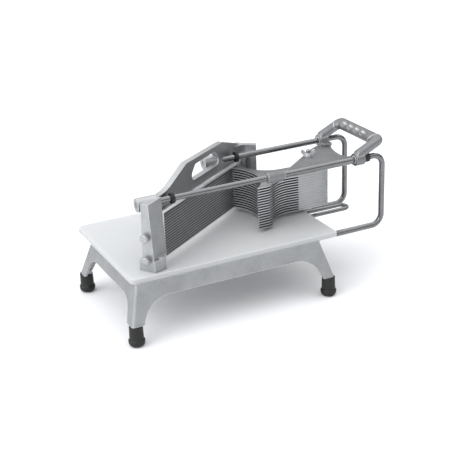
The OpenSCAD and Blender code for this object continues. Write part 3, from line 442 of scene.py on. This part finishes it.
def piece(name, parts, body, finish, node, smooth=True):
    """One object from a list of (points in millimetres, faces, marks), at its place in the row frame.
    Doubled points are merged and faces turned outwards. The marks say where a finish is made bright: ground
    edges, painted highlights and painted light."""
    mesh = bpy.data.meshes.new(name)
    points, faces, marks = [], [], []
    start = 0
    for spots, sides, *given in parts:
        points.append(spots)
        faces += [[start + k for k in side] for side in sides]
        marks.append(given[0] if given else np.zeros(len(spots)))
        start += len(spots)
    mesh.from_pydata(((np.concatenate(points) + MIDDLE) / METRE).tolist(), [], faces)
    # The marks hold ground edges, painted highlights and painted light
    ground = mesh.attributes.new("ground", "FLOAT", "POINT")
    ground.data.foreach_set("value", np.concatenate(marks).astype("f"))
    work = bmesh.new()
    work.from_mesh(mesh)
    bmesh.ops.remove_doubles(work, verts=work.verts, dist=2e-6)
    bmesh.ops.dissolve_degenerate(work, edges=work.edges, dist=1e-6)
    bmesh.ops.recalc_face_normals(work, faces=work.faces)
    work.to_mesh(mesh)
    work.free()
    mesh.polygons.foreach_set("use_smooth", np.full(len(mesh.polygons), smooth))
    mesh.materials.append(bpy.data.materials[finish])
    obj = linked(name, mesh)
    if smooth:
        even_shading(obj)
    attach(obj, body)
    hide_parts(node)


def cast_copy(name, node, body, finish, edge):
    """A CAD solid's own surface, with loose triangles joined, flat faces cleared and edges rounded."""
    mesh = frame["nodes"][node].data.copy()
    mesh.name = name
    work = bmesh.new()
    work.from_mesh(mesh)
    bmesh.ops.remove_doubles(work, verts=work.verts, dist=1e-6)
    bmesh.ops.dissolve_limit(work, angle_limit=math.radians(0.6), verts=work.verts, edges=work.edges)
    work.to_mesh(mesh)
    work.free()
    mesh.polygons.foreach_set("use_smooth", np.ones(len(mesh.polygons), bool))
    mesh.materials.clear()
    mesh.materials.append(bpy.data.materials[finish])
    obj = linked(name, mesh)
    bevel = obj.modifiers.new("Cast edges", "BEVEL")
    bevel.width = edge
    bevel.segments = 3
    bevel.limit_method = "ANGLE"
    bevel.angle_limit = math.radians(30)
    bevel.miter_outer = "MITER_ARC"
    bevel.use_clamp_overlap = True
    bevel.harden_normals = False
    even_shading(obj)
    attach(obj, body)
    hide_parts(node)


# Materials

def grey(value, tint=WHITE):
    """Grey of that tone with a tint."""
    return tuple(value * t for t in tint)


def solid(value, tint):
    """The same grey with its opacity, as a shader's colour socket wants it."""
    return (*grey(value, tint), 1.0)


class Nodes:
    """Short hand for making and joining the shader nodes of one material."""

    def __init__(self, name):
        self.material = bpy.data.materials.new(name)
        self.material.use_nodes = True
        self.tree = self.material.node_tree
        self.shader = self.tree.nodes["Principled BSDF"]
        self.where = self.add("ShaderNodeTexCoord").outputs["Object"]

    def fill(self, socket, value):
        """Joins a socket to another one, or gives it a plain value."""
        if isinstance(value, bpy.types.NodeSocket):
            self.tree.links.new(value, socket)
        else:
            socket.default_value = value

    def add(self, kind, inputs=None, **settings):
        """A new node of that kind with its settings and inputs."""
        node = self.tree.nodes.new(kind)
        for key, value in settings.items():
            setattr(node, key, value)
        for key, value in (inputs or {}).items():
            self.fill(node.inputs[key], value)
        return node

    def stretched(self, scale):
        """Object coordinates with a scale of their own along each axis."""
        return self.add("ShaderNodeMapping", {"Vector": self.where, "Scale": scale}).outputs["Vector"]

    def noise(self, scale, detail, roughness=0.5, vector=None):
        """Cloudy noise on object coordinates."""
        inputs = {"Vector": vector or self.where, "Scale": scale, "Detail": detail, "Roughness": roughness}
        return self.add("ShaderNodeTexNoise", inputs).outputs["Fac"]

    def ramp(self, value, low, high):
        """Colour from low to high, by the value's place between 0.3 and 0.7."""
        node = self.add("ShaderNodeValToRGB", {"Fac": value})
        for stop, place, colour in zip(node.color_ramp.elements, (0.3, 0.7), (low, high)):
            stop.position = place
            stop.color = (*colour, 1.0)
        return node.outputs["Color"]

    def scaled(self, value, low, high, start=0.3, end=0.7, kind="LINEAR"):
        """Number from low to high, by the value's place between start and end."""
        inputs = {"Value": value, "From Min": start, "From Max": end, "To Min": low, "To Max": high}
        return self.add("ShaderNodeMapRange", inputs, interpolation_type=kind).outputs["Result"]

    def mix(self, share, first, second, kind="MIX"):
        """The second colour laid over the first by a share."""
        node = self.add("ShaderNodeMix", data_type="RGBA", blend_type=kind)
        for number, value in ((0, share), (6, first), (7, second)):
            self.fill(node.inputs[number], value)
        return node.outputs[2]

    def along(self, vector, way):
        """How far a vector goes along a direction."""
        return self.add("ShaderNodeVectorMath", {0: vector, 1: way}, operation="DOT_PRODUCT").outputs["Value"]

    def normal(self):
        """The surface's own normal."""
        return self.add("ShaderNodeNewGeometry").outputs["Normal"]

    def upward(self):
        """The upward share of the surface's normal."""
        return self.add("ShaderNodeSeparateXYZ", {"Vector": self.normal()}).outputs["Z"]

    def marks(self):
        """The marks that piece() gave to the points."""
        return self.add("ShaderNodeAttribute", attribute_name="ground").outputs["Fac"]

    def edges(self, radius):
        """How far the surface turns within a radius in metres: the normal against its rounded copy."""
        smooth = self.add("ShaderNodeBevel", {"Radius": radius}, samples=4).outputs["Normal"]
        return self.scaled(self.along(smooth, self.normal()), 1.0, 0.0, 0.8, 0.995)

    def bump(self, height, strength, distance):
        """Normal that is tilted by a height."""
        inputs = {"Height": height, "Strength": strength, "Distance": distance}
        return self.add("ShaderNodeBump", inputs).outputs["Normal"]

    def finish(self, **sockets):
        """The material, with the sockets of its shader filled."""
        for key, value in sockets.items():
            self.fill(self.shader.inputs[key.replace("_", " ").title().replace("Ior", "IOR")], value)
        return self.material


def cast_finish(name, tone, rough=0.5, painted_light=(), painted_highlight=0.0):
    """Tumbled casting: cloudy grey with a fine sandy grain, and edges that the tumbling left bright. Painted
    light
    and shade: on faces that look in a stretch's first direction, the tone goes from one share to another over
    a stretch along its second, and faces that look up get painted light. The marked places get a painted
    highlight."""
    n = Nodes(name)
    cloud = n.noise(28.0, 5.0, 0.65)
    grain = n.noise(900.0, 2.0, 0.6)
    pits = n.noise(260.0, 3.0, 0.7)
    base = n.ramp(cloud, grey(tone * 0.87, COOL), grey(tone * 1.1, COOL))
    colour = n.mix(0.5, base, n.ramp(grain, grey(0.72, COOL), grey(1.18, COOL)), "MULTIPLY")
    # Painted light and shade by the way a face looks and its place along a stretch
    for face, run, start, end, first, last in painted_light:
        facing = n.scaled(n.along(n.normal(), face), 0.0, 1.0, 0.3, 0.8)
        start, end = (np.array([start, end]) + MIDDLE @ run) / METRE
        share = n.scaled(n.along(n.where, run), first, last, start, end, "SMOOTHSTEP")
        colour = n.mix(facing, colour, share, "MULTIPLY")
    # Painted light on faces that look up
    if painted_light:
        colour = n.mix(n.scaled(n.upward(), 0.0, 0.8, 0.3, 0.9), colour, solid(tone * 1.2, COOL))
    # Painted highlight on the marked places
    if painted_highlight:
        colour = n.mix(n.marks(), colour, solid(painted_highlight, COOL))
    worn = n.mix(n.edges(0.0014), colour, solid(0.85, COOL))
    height = n.add("ShaderNodeMath", {0: grain, 1: pits}, operation="ADD").outputs["Value"]
    return n.finish(base_color=worn, metallic=0.75, roughness=n.scaled(pits, rough - 0.06, rough + 0.1),
                    normal=n.bump(height, 0.25, 0.0003))


def board_finish(name, tone):
    """White cutting-board plastic with a faint mottle and a fine matte skin, with painted shade on its sides.
    """
    n = Nodes(name)
    mottle = n.noise(60.0, 5.0, 0.6)
    skin = n.noise(1400.0, 2.0)
    colour = n.ramp(mottle, grey(tone * 0.98, PALE), grey(tone, PALE))
    # Painted shade on the faces that do not look up
    colour = n.mix(n.scaled(n.upward(), 0.0, 1.0, 0.6, 0.98), solid(tone * 0.82, PALE), colour)
    return n.finish(base_color=colour, roughness=n.scaled(mottle, 0.4, 0.5), subsurface_weight=0.35,
                    subsurface_radius=(1.0, 1.0, 1.0), subsurface_scale=0.02,
                    normal=n.bump(skin, 0.12, 0.0002))


def rubber_finish(name, tone):
    """Black moulded rubber: almost even, slightly dusty where it is rough."""
    n = Nodes(name)
    dust = n.noise(180.0, 4.0, 0.65)
    fine = n.noise(1500.0, 2.0)
    colour = n.ramp(dust, grey(tone * 0.7), grey(tone * 1.5))
    return n.finish(base_color=colour, roughness=n.scaled(dust, 0.5, 0.68), normal=n.bump(fine, 0.2, 0.0002))


def drawn_finish(name, tone, rough, scale, bright=0.0, grain=0.12, metal=1.0, top_highlight=0.0):
    """Ground or drawn metal: grinding lines that are fine across the scale's large direction. Where the
    marks say so, it takes the bright tone, partly ground edges and partly painted highlight. A top highlight
    is a painted highlight of that tone: a narrow line along the top of a bar."""
    n = Nodes(name)
    lines = n.noise(1.0, 4.0, 0.65, n.stretched(scale))
    cloud = n.noise(35.0, 3.0)
    base = n.ramp(lines, grey(tone * 0.82, COOL), grey(tone * 1.15, COOL))
    colour = n.mix(0.4, base, n.ramp(cloud, grey(0.85), grey(1.1)), "MULTIPLY")
    # Bright tone where marked: ground edges and painted highlight
    if bright:
        ground = n.ramp(lines, grey(bright * 0.85, COOL), grey(bright * 1.05, COOL))
        colour = n.mix(n.marks(), colour, ground)
    # Painted highlight along the top of a bar
    if top_highlight:
        colour = n.mix(n.scaled(n.upward(), 0.0, 1.0, 0.7, 0.97), colour, solid(top_highlight, COOL))
    return n.finish(base_color=colour, metallic=metal, roughness=n.scaled(lines, rough - 0.07, rough + 0.1),
                    normal=n.bump(lines, grain, 0.0002))


# What a user would change

class SlicerSizes(bpy.types.PropertyGroup):
    """Roundings and teeth."""

    base_edge: FloatProperty(name="Base edges", description="Rounding of the base's edges",
                             default=0.0016, min=0.0001, precision=4, unit="LENGTH")
    head_edge: FloatProperty(name="Head edges", description="Rounding of the head's edges",
                             default=0.0012, min=0.0001, precision=4, unit="LENGTH")
    plate_edge: FloatProperty(name="Plate edges", description="Rounding of the carriage plate's edges",
                              default=0.0008, min=0.0001, precision=4, unit="LENGTH")
    board_edge: FloatProperty(name="Board edges", description="Rounding of the board's edges",
                              default=0.0012, min=0.0001, precision=4, unit="LENGTH")
    tooth: FloatProperty(name="Tooth", description="Length of a tooth on the blades",
                         default=0.006, min=0.001, precision=4, unit="LENGTH")
    tooth_deep: FloatProperty(name="Tooth depth", description="How far the edge stands back between teeth",
                              default=0.0009, min=0.0, precision=4, unit="LENGTH")


class SlicerLooks(bpy.types.PropertyGroup):
    """Tones of the finishes."""

    casting: FloatProperty(name="Casting", description="Tone of the castings",
                           default=0.42, min=0, max=1, subtype="FACTOR")
    board: FloatProperty(name="Board", description="Tone of the board",
                         default=0.6, min=0, max=1, subtype="FACTOR")
    rubber: FloatProperty(name="Rubber", description="Tone of the rubber",
                          default=0.008, min=0, max=1, subtype="FACTOR")
    rods: FloatProperty(name="Rods", description="Tone of the rods",
                        default=0.21, min=0, max=1, subtype="FACTOR")
    # The blades' very dark tone is painted shade between the stacked blades
    blades: FloatProperty(name="Blades", description="Tone of the blades",
                          default=0.05, min=0, max=1, subtype="FACTOR")
    # The fins' very dark tone is painted shade between the stacked fins
    sheet: FloatProperty(name="Sheet", description="Tone of the fins and spacers",
                         default=0.06, min=0, max=1, subtype="FACTOR")


class SlicerStage(bpy.types.PropertyGroup):
    """Lights and camera."""

    key: FloatProperty(name="Key light", description="Strength of the wide sun", default=0.9, min=0)
    sky: FloatProperty(name="Overhead light", description="Strength of the light from above",
                       default=1.45, min=0)
    walls: FloatProperty(name="Walls", description="Strength of the light from the sides",
                         default=0.22, min=0)
    left: FloatProperty(name="Left softbox", description="Strength of the light from the left",
                        default=0.65, min=0)
    lens: FloatProperty(name="Lens", description="Focal length of the camera in millimetres",
                        default=86.02, min=10, unit="CAMERA")


# Steps, one for each group of pieces

class FinishNodes(bpy.types.Operator):
    """Makes the finishes and gives the CAD pieces that stay theirs"""

    bl_idname = "slicer.finish_nodes"
    bl_label = "Finish CAD pieces"

    def execute(self, context):
        looks = context.scene.slicer_looks
        cast_finish("Cast head", looks.casting * 1.08, 0.42, HEAD_PAINTED_LIGHT)
        cast_finish("Cast plate", looks.casting * 0.6)
        # The handle gets a painted highlight in its finger hollows and on its ridges
        cast_finish("Cast handle", looks.casting * 0.58, 0.42, painted_highlight=0.68)
        drawn_finish("Sheet edges", 0.4, 0.45, (20, 20, 1500))
        drawn_finish("Bright wing nut", 0.72, 0.3, (300, 300, 900), metal=0.6)
        drawn_finish("Bright bar", 0.85, 0.4, (60, 60, 700), metal=0.7)
        made = {
            "cast_aluminium": cast_finish("Cast aluminium", looks.casting, painted_light=BASE_PAINTED_SHADE),
            "board_plastic": board_finish("Board plastic", looks.board),
            "black_rubber": rubber_finish("Black rubber", looks.rubber),
            # The rods get a painted highlight along their tops
            "stainless_rod": drawn_finish("Stainless rod", looks.rods, 0.22, (25, 350, 350), grain=0.04,
                                          top_highlight=0.34),
            # Very dark blade steel: painted shade between the blades, with painted highlight on the ground
            # edges
            "blade_steel": drawn_finish("Blade steel", looks.blades, 0.35, (500, 500, 60), 1.0),
            "cassette_steel": drawn_finish("Cassette steel", 0.5, 0.35, (60, 60, 700)),
            # Very dark fin sheet: painted shade between the fins, with painted highlight on their walls
            "fin_aluminium": drawn_finish("Sheet aluminium", looks.sheet, 0.4, (90, 700, 700), 0.5),
            "bush_plastic": board_finish("Bush plastic", 0.7),
            "fastener_steel": drawn_finish("Fastener steel", 0.42, 0.35, (300, 300, 900)),
            "bright_fastener": drawn_finish("Bright fastener", 0.45, 0.3, (300, 300, 900)),
        }
        for subpart in frame["record"]["subparts"]:
            mesh = frame["nodes"][subpart["node"]].data
            mesh.materials.clear()
            mesh.materials.append(made[subpart["material_slot"]])
        return {"FINISHED"}


class MakeBoard(bpy.types.Operator):
    """Makes the cutting board with its rounded corners and edges"""

    bl_idname = "slicer.make_board"
    bl_label = "Cutting board"

    def execute(self, context):
        low, high = span("slide_board")
        outline = rounded(rectangle(low[0], high[0], low[1], high[1]), (11, 3, 3, 11), 10)
        board = slab(outline, low[2], high[2], context.scene.slicer_sizes.board_edge * METRE)
        piece("cutting_board", [board], "frame", "Board plastic", "slide_board")
        return {"FINISHED"}


class MakeCastings(bpy.types.Operator):
    """Rounds the edges of the base, the head and the carriage plate"""

    bl_idname = "slicer.make_castings"
    bl_label = "Castings"

    def execute(self, context):
        sizes = context.scene.slicer_sizes
        cast_copy("cast_base", "base_frame", "frame", "Cast aluminium", sizes.base_edge)
        cast_copy("cast_head", "head_casting", "frame", "Cast head", sizes.head_edge)
        cast_copy("cast_carriage", "carriage_plate", "pusher", "Cast plate",
                  sizes.plate_edge)
        return {"FINISHED"}


class MakeHandle(bpy.types.Operator):
    """Makes the handle: its bar with the finger hollows, its two sleeves and the feet under them"""

    bl_idname = "slicer.make_handle"
    bl_label = "Handle"

    def execute(self, context):
        bore = ROD_FRONT_Y - span("sleeve_bushes")[0][1] + CLEARANCE
        parts = [handle_bar()]
        for drum_x, rod_y, inward, _ in DRUMS:
            parts.append(laid_x(ring(bore, DRUM_R, DRUM_LONG, 1.3, 64), drum_x, rod_y, ROD_Z))
            near, far = sorted((rod_y + inward * PAD_NEAR, rod_y + inward * PAD_FAR))
            pad = rounded(rectangle(HANDLE_X - PAD_HALF, HANDLE_X + PAD_HALF, near, far), 2.5)
            parts.append(slab(pad, PLATE_TOP, PLATE_TOP + PAD_TALL, 1.0)[:2])
        piece("cast_handle", parts, "pusher", "Cast handle", "pusher_handle")
        return {"FINISHED"}


class MakeFeet(bpy.types.Operator):
    """Makes the four moulded rubber feet"""

    bl_idname = "slicer.make_feet"
    bl_label = "Rubber feet"

    def execute(self, context):
        for name in ("front_left", "front_right", "rear_left", "rear_right"):
            low, high = span("foot_" + name)
            profile = foot_profile((high[0] - low[0]) / 2, high[2] - low[2])
            middle = (low + high) / 2
            foot = moved(turned(profile, 72, closed=True), (middle[0], middle[1], 0))
            piece("rubber_" + name, [foot], "frame", "Black rubber", "foot_" + name)
        return {"FINISHED"}


class MakeRods(bpy.types.Operator):
    """Bends the two guide rods and the table stop, and adds the black rings on the rods"""

    bl_idname = "slicer.make_rods"
    bl_label = "Rods and rings"

    def execute(self, context):
        self.guide_rod("front", ROD_FRONT_Y, FRONT_ROD[0][0])
        self.guide_rod("rear", ROD_REAR_Y, REAR_ROD[0][0])
        self.table_stop()
        for node, name in (("head_washer_front", "buffer_front"), ("head_washer_rear", "buffer_rear"),
                           ("stop_ring_front", "stop_collar")):
            low, high = span(node)
            part = ring(ROD_R + CLEARANCE, (high[2] - low[2]) / 2, high[0] - low[0], 1.1)
            piece(name, [laid_x(part, low[0], (low[1] + high[1]) / 2, ROD_Z)], "frame", "Black rubber", node)
        return {"FINISHED"}

    def guide_rod(self, name, y, left):
        """Upper run from the head, quarter bend, vertical run, quarter bend, lower run past its nuts."""
        bend_x = ROD_END_X - BEND_R
        low_end = span("rod_nuts")[0][0] - 0.5
        line = np.concatenate([[(left, ROD_Z), (bend_x - 1, ROD_Z)],
                               arc((bend_x, ROD_Z - BEND_R), BEND_R, 90, 0, BEND_STEPS),
                               arc((bend_x, ROD_LOW_Z + BEND_R), BEND_R, 0, -90, BEND_STEPS),
                               [(bend_x - 1, ROD_LOW_Z), (low_end, ROD_LOW_Z)]])
        path = np.column_stack([line[:, 0], np.full(len(line), y), line[:, 1]])
        piece("bent_rod_" + name, [tube(path, ROD_R, (0, 1, 0), 40)], "frame", "Stainless rod",
              "guide_rod_" + name)

    def table_stop(self):
        """Two end pins in one line, two legs and a half-round loop. The second half mirrors the first."""
        low, high = span("table_stop")
        radius = (high[2] - low[2]) / 2
        loop, mid, pivot = STOP_WIDTH / 2, (low[1] + high[1]) / 2, low[0] + radius
        half = np.concatenate([[(pivot, high[1] - mid)],
                               arc((pivot + STOP_BEND, loop + STOP_BEND), STOP_BEND, 180, 270, 8),
                               arc((high[0] - radius - loop, 0), loop, 90, 0, 14)])
        line = np.concatenate([half, half[-2::-1] * (1, -1)])
        path = np.column_stack([line[:, 0], line[:, 1] + mid, np.full(len(line), (low[2] + high[2]) / 2)])
        piece("bent_table_stop", [tube(path, radius, (0, 0, 1), 28)], "table_stop", "Stainless rod",
              "table_stop")


class MakeCassette(bpy.types.Operator):
    """Makes the serrated blades with their beaded end strips and the top bar"""

    bl_idname = "slicer.make_cassette"
    bl_label = "Blade cassette"

    def execute(self, context):
        sizes = context.scene.slicer_sizes
        blade = serrated_blade(sizes.tooth * METRE, sizes.tooth_deep * METRE)
        blades = [in_head(moved(blade, (0, 0, z))) for z in BLADE_LOW + PITCH * np.arange(BLADES)]
        piece("serrated_blades", blades, "frame", "Blade steel", "slicing_blades",
              smooth=False)
        rear_end = REAR_STRIP_X + STRIP_WIDE - 1
        tab = rounded(rectangle(rear_end, TAB_END_X, STRIP_FRONT, STRIP_BACK), 0.8)
        strips = {"front": [beaded_strip(FRONT_STRIP_X)],
                  "rear": [beaded_strip(REAR_STRIP_X), slab(tab, STRIP_TOP - TAB_TALL, STRIP_TOP, 0.5)]}
        for name, parts in strips.items():
            piece("beaded_strip_" + name, [in_head(part) for part in parts], "frame", "Bright bar",
                  "cassette_end_" + name)
        plan = rounded(rectangle(FRONT_STRIP_X, BAR_END_X, BAR_FRONT, BAR_BACK), (0.8, 2.9, 2.9, 0.8), 8)
        bar = slab(plan, STRIP_TOP, STRIP_TOP + BAR_TALL, 0.9)
        piece("cassette_bar", [in_head(bar)], "frame", "Bright bar", "cassette_top_bar")
        for name, height in SCREW_HEIGHTS.items():
            screw = [turned(KNOB, 120, KNURL_SHARE, KNURLS), turned(SHANK, 40)]
            parts = [in_head(laid_x(part, SCREW_X, SCREW_Y, height)) for part in screw]
            piece("thumbscrew_" + name, parts, name + "_thumbscrew", "Bright fastener",
                  "cassette_screw_" + name)
        return {"FINISHED"}


class MakeFins(bpy.types.Operator):
    """Makes the stack of fins and spacers"""

    bl_idname = "slicer.make_fins"
    bl_label = "Fins and spacers"

    def execute(self, context):
        low, high = (corner[2] for corner in span("pusher_fins"))
        thick = (high - low) - BLADE_RISE
        levels = [low + PITCH * i for i in range(BLADES)]
        plan = fin_plan()
        # The fins' walls take the bright tone: sheared edges and painted highlight
        fins = [slab(plan, level, level + thick, 0.35, steps=3) for level in levels]
        # Painted light on the top face of the top fin
        points, faces, marks = fins[-1]
        fins[-1] = (points, faces, np.where(points[:, 2] > high - 0.01, 0.8, marks))
        piece("sheet_fins", fins, "pusher", "Sheet aluminium", "pusher_fins")
        corners = [(NECK_LEFT, NECK_FRONT), (NECK_RIGHT, NECK_FRONT), (NECK_RIGHT, NECK_BACK),
                   (BLOCK_BACK_X, NECK_BACK), (NECK_LEFT, NECK_FRONT + BLOCK_TIP)]
        block = rounded(corners, 0.4, 3)
        spacers = [slab(block, level + thick, above, 0.25, steps=2)
                   for level, above in zip(levels, levels[1:])]
        spacers.append(slab(block, high, BLOCK_TOP, 0.3, steps=2))
        piece("sheet_spacers", spacers, "pusher", "Sheet edges", "pusher_spacers")
        return {"FINISHED"}


class MakeWingNut(bpy.types.Operator):
    """Makes the wing nut and the studs through the stack"""

    bl_idname = "slicer.make_wing_nut"
    bl_label = "Wing nut and studs"

    def execute(self, context):
        low, high = span("wing_nut")
        centre = np.array([(low[0] + high[0]) / 2, (low[1] + high[1]) / 2, low[2]])
        parts = [turned(HUB, 48, closed=True)]
        points, faces, _ = slab(rounded(WING, WING_CORNERS, 6), -WING_HALF, WING_HALF, 0.7)
        out, up, side = points.T
        for angle in (WING_TURN, WING_TURN + math.pi):
            c, s = math.cos(angle), math.sin(angle)
            parts.append((np.stack([out * c - side * s, out * s + side * c, up], axis=1), faces))
        piece("wing_nut_cast", [moved(part, centre) for part in parts], "wing_nut", "Bright wing nut",
              "wing_nut")
        low, high = span("stack_bolts")
        studs = [moved(turned(stud_profile(low[2], top), 32), (*spot, 0))
                 for spot, top in zip(STUDS, (high[2], PLATE_TOP))]
        piece("threaded_studs", studs, "pusher", "Fastener steel", "stack_bolts")
        return {"FINISHED"}


class MakeStage(bpy.types.Operator):
    """Makes the floor, the soft lights and the camera"""

    bl_idname = "slicer.make_stage"
    bl_label = "Stage"

    def execute(self, context):
        scene, settings = context.scene, context.scene.slicer_stage
        scene.view_settings.view_transform = "Standard"
        self.floor()
        scene.world = self.studio(settings)
        light = bpy.data.lights.new("Key light", "SUN")
        light.energy = settings.key
        light.angle = KEY_WIDTH
        linked("Key light", light).rotation_euler = Vector(KEY_WAY).to_track_quat("Z", "Y").to_euler()
        camera = bpy.data.cameras.new("Camera")
        camera.sensor_width = SENSOR
        camera.lens = settings.lens
        scene.camera = linked("Camera", camera)
        scene.camera.matrix_world = self.view()
        return {"FINISHED"}

    def floor(self):
        """White matte floor under the feet."""
        mesh = bpy.data.meshes.new("floor")
        corners = rectangle(-FLOOR_HALF, FLOOR_HALF, -FLOOR_HALF, FLOOR_HALF)
        mesh.from_pydata([(*corner, 0.0) for corner in corners], [], [(0, 1, 2, 3)])
        n = Nodes("Floor")
        mesh.materials.append(n.finish(base_color=(0.93, 0.93, 0.94, 1.0), roughness=0.9,
                                       specular_ior_level=0.1))
        linked("floor", mesh)

    def studio(self, settings):
        """World that is brighter overhead than at the sides, with a wide softbox on the left."""
        world = bpy.data.worlds.new("Studio")
        world.use_nodes = True
        tree = world.node_tree
        split = tree.nodes.new("ShaderNodeSeparateXYZ")
        tree.links.new(tree.nodes.new("ShaderNodeTexCoord").outputs["Generated"], split.inputs["Vector"])
        both = tree.nodes.new("ShaderNodeMath")
        lights = (("Z", *SKY_STRETCH, settings.walls, settings.sky), ("X", *LEFT_STRETCH, 0.0, settings.left))
        for (axis, *limits), strength in zip(lights, both.inputs):
            lift = tree.nodes.new("ShaderNodeMapRange")
            lift.interpolation_type = "SMOOTHSTEP"
            for key, value in zip(("From Min", "From Max", "To Min", "To Max"), limits):
                lift.inputs[key].default_value = value
            tree.links.new(split.outputs[axis], lift.inputs["Value"])
            tree.links.new(lift.outputs["Result"], strength)
        background = tree.nodes["Background"]
        background.inputs["Color"].default_value = (0.975, 0.985, 1.0, 1.0)
        tree.links.new(both.outputs["Value"], background.inputs["Strength"])
        return world

    def view(self):
        """Place of the camera: its axes come from its turn, height and roll, and it is moved along all
        three."""
        flat = math.cos(SHOT_HEIGHT)
        back = Vector((math.sin(SHOT_TURN) * flat, -math.cos(SHOT_TURN) * flat, math.sin(SHOT_HEIGHT)))
        right = Vector((0, 0, 1)).cross(back).normalized()
        up = back.cross(right)
        across = right * math.cos(SHOT_ROLL) + up * math.sin(SHOT_ROLL)
        above = up * math.cos(SHOT_ROLL) - right * math.sin(SHOT_ROLL)
        place = Matrix((across, above, back)).transposed().to_4x4()
        place.translation = ((back * SHOT_AWAY + across * SHOT_ACROSS + above * SHOT_ABOVE) / METRE
                             + Vector((MIDDLE / METRE).tolist()))
        return place


class SlicerPanel(bpy.types.Panel):
    """Lists the steps in the sidebar"""

    bl_idname = "VIEW3D_PT_slicer"
    bl_label = "Tomato slicer"
    bl_space_type = "VIEW_3D"
    bl_region_type = "UI"
    bl_category = "Slicer"

    def draw(self, context):
        for step in STEPS:
            self.layout.operator(step.bl_idname)


STEPS = (FinishNodes, MakeBoard, MakeCastings, MakeHandle, MakeFeet, MakeRods, MakeCassette, MakeFins,
         MakeWingNut, MakeStage)
GROUPS = {"slicer_sizes": SlicerSizes, "slicer_looks": SlicerLooks, "slicer_stage": SlicerStage}


def register():
    for kind in (*GROUPS.values(), *STEPS, SlicerPanel):
        bpy.utils.register_class(kind)
    for name, group in GROUPS.items():
        setattr(bpy.types.Scene, name, PointerProperty(type=group))


def unregister():
    for name in GROUPS:
        delattr(bpy.types.Scene, name)
    for kind in reversed((*GROUPS.values(), *STEPS, SlicerPanel)):
        bpy.utils.unregister_class(kind)


def main():
    """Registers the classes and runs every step."""
    register()
    for step in STEPS:
        group, name = step.bl_idname.split(".")
        getattr(getattr(bpy.ops, group), name)()


if __name__ == "__main__":
    main()
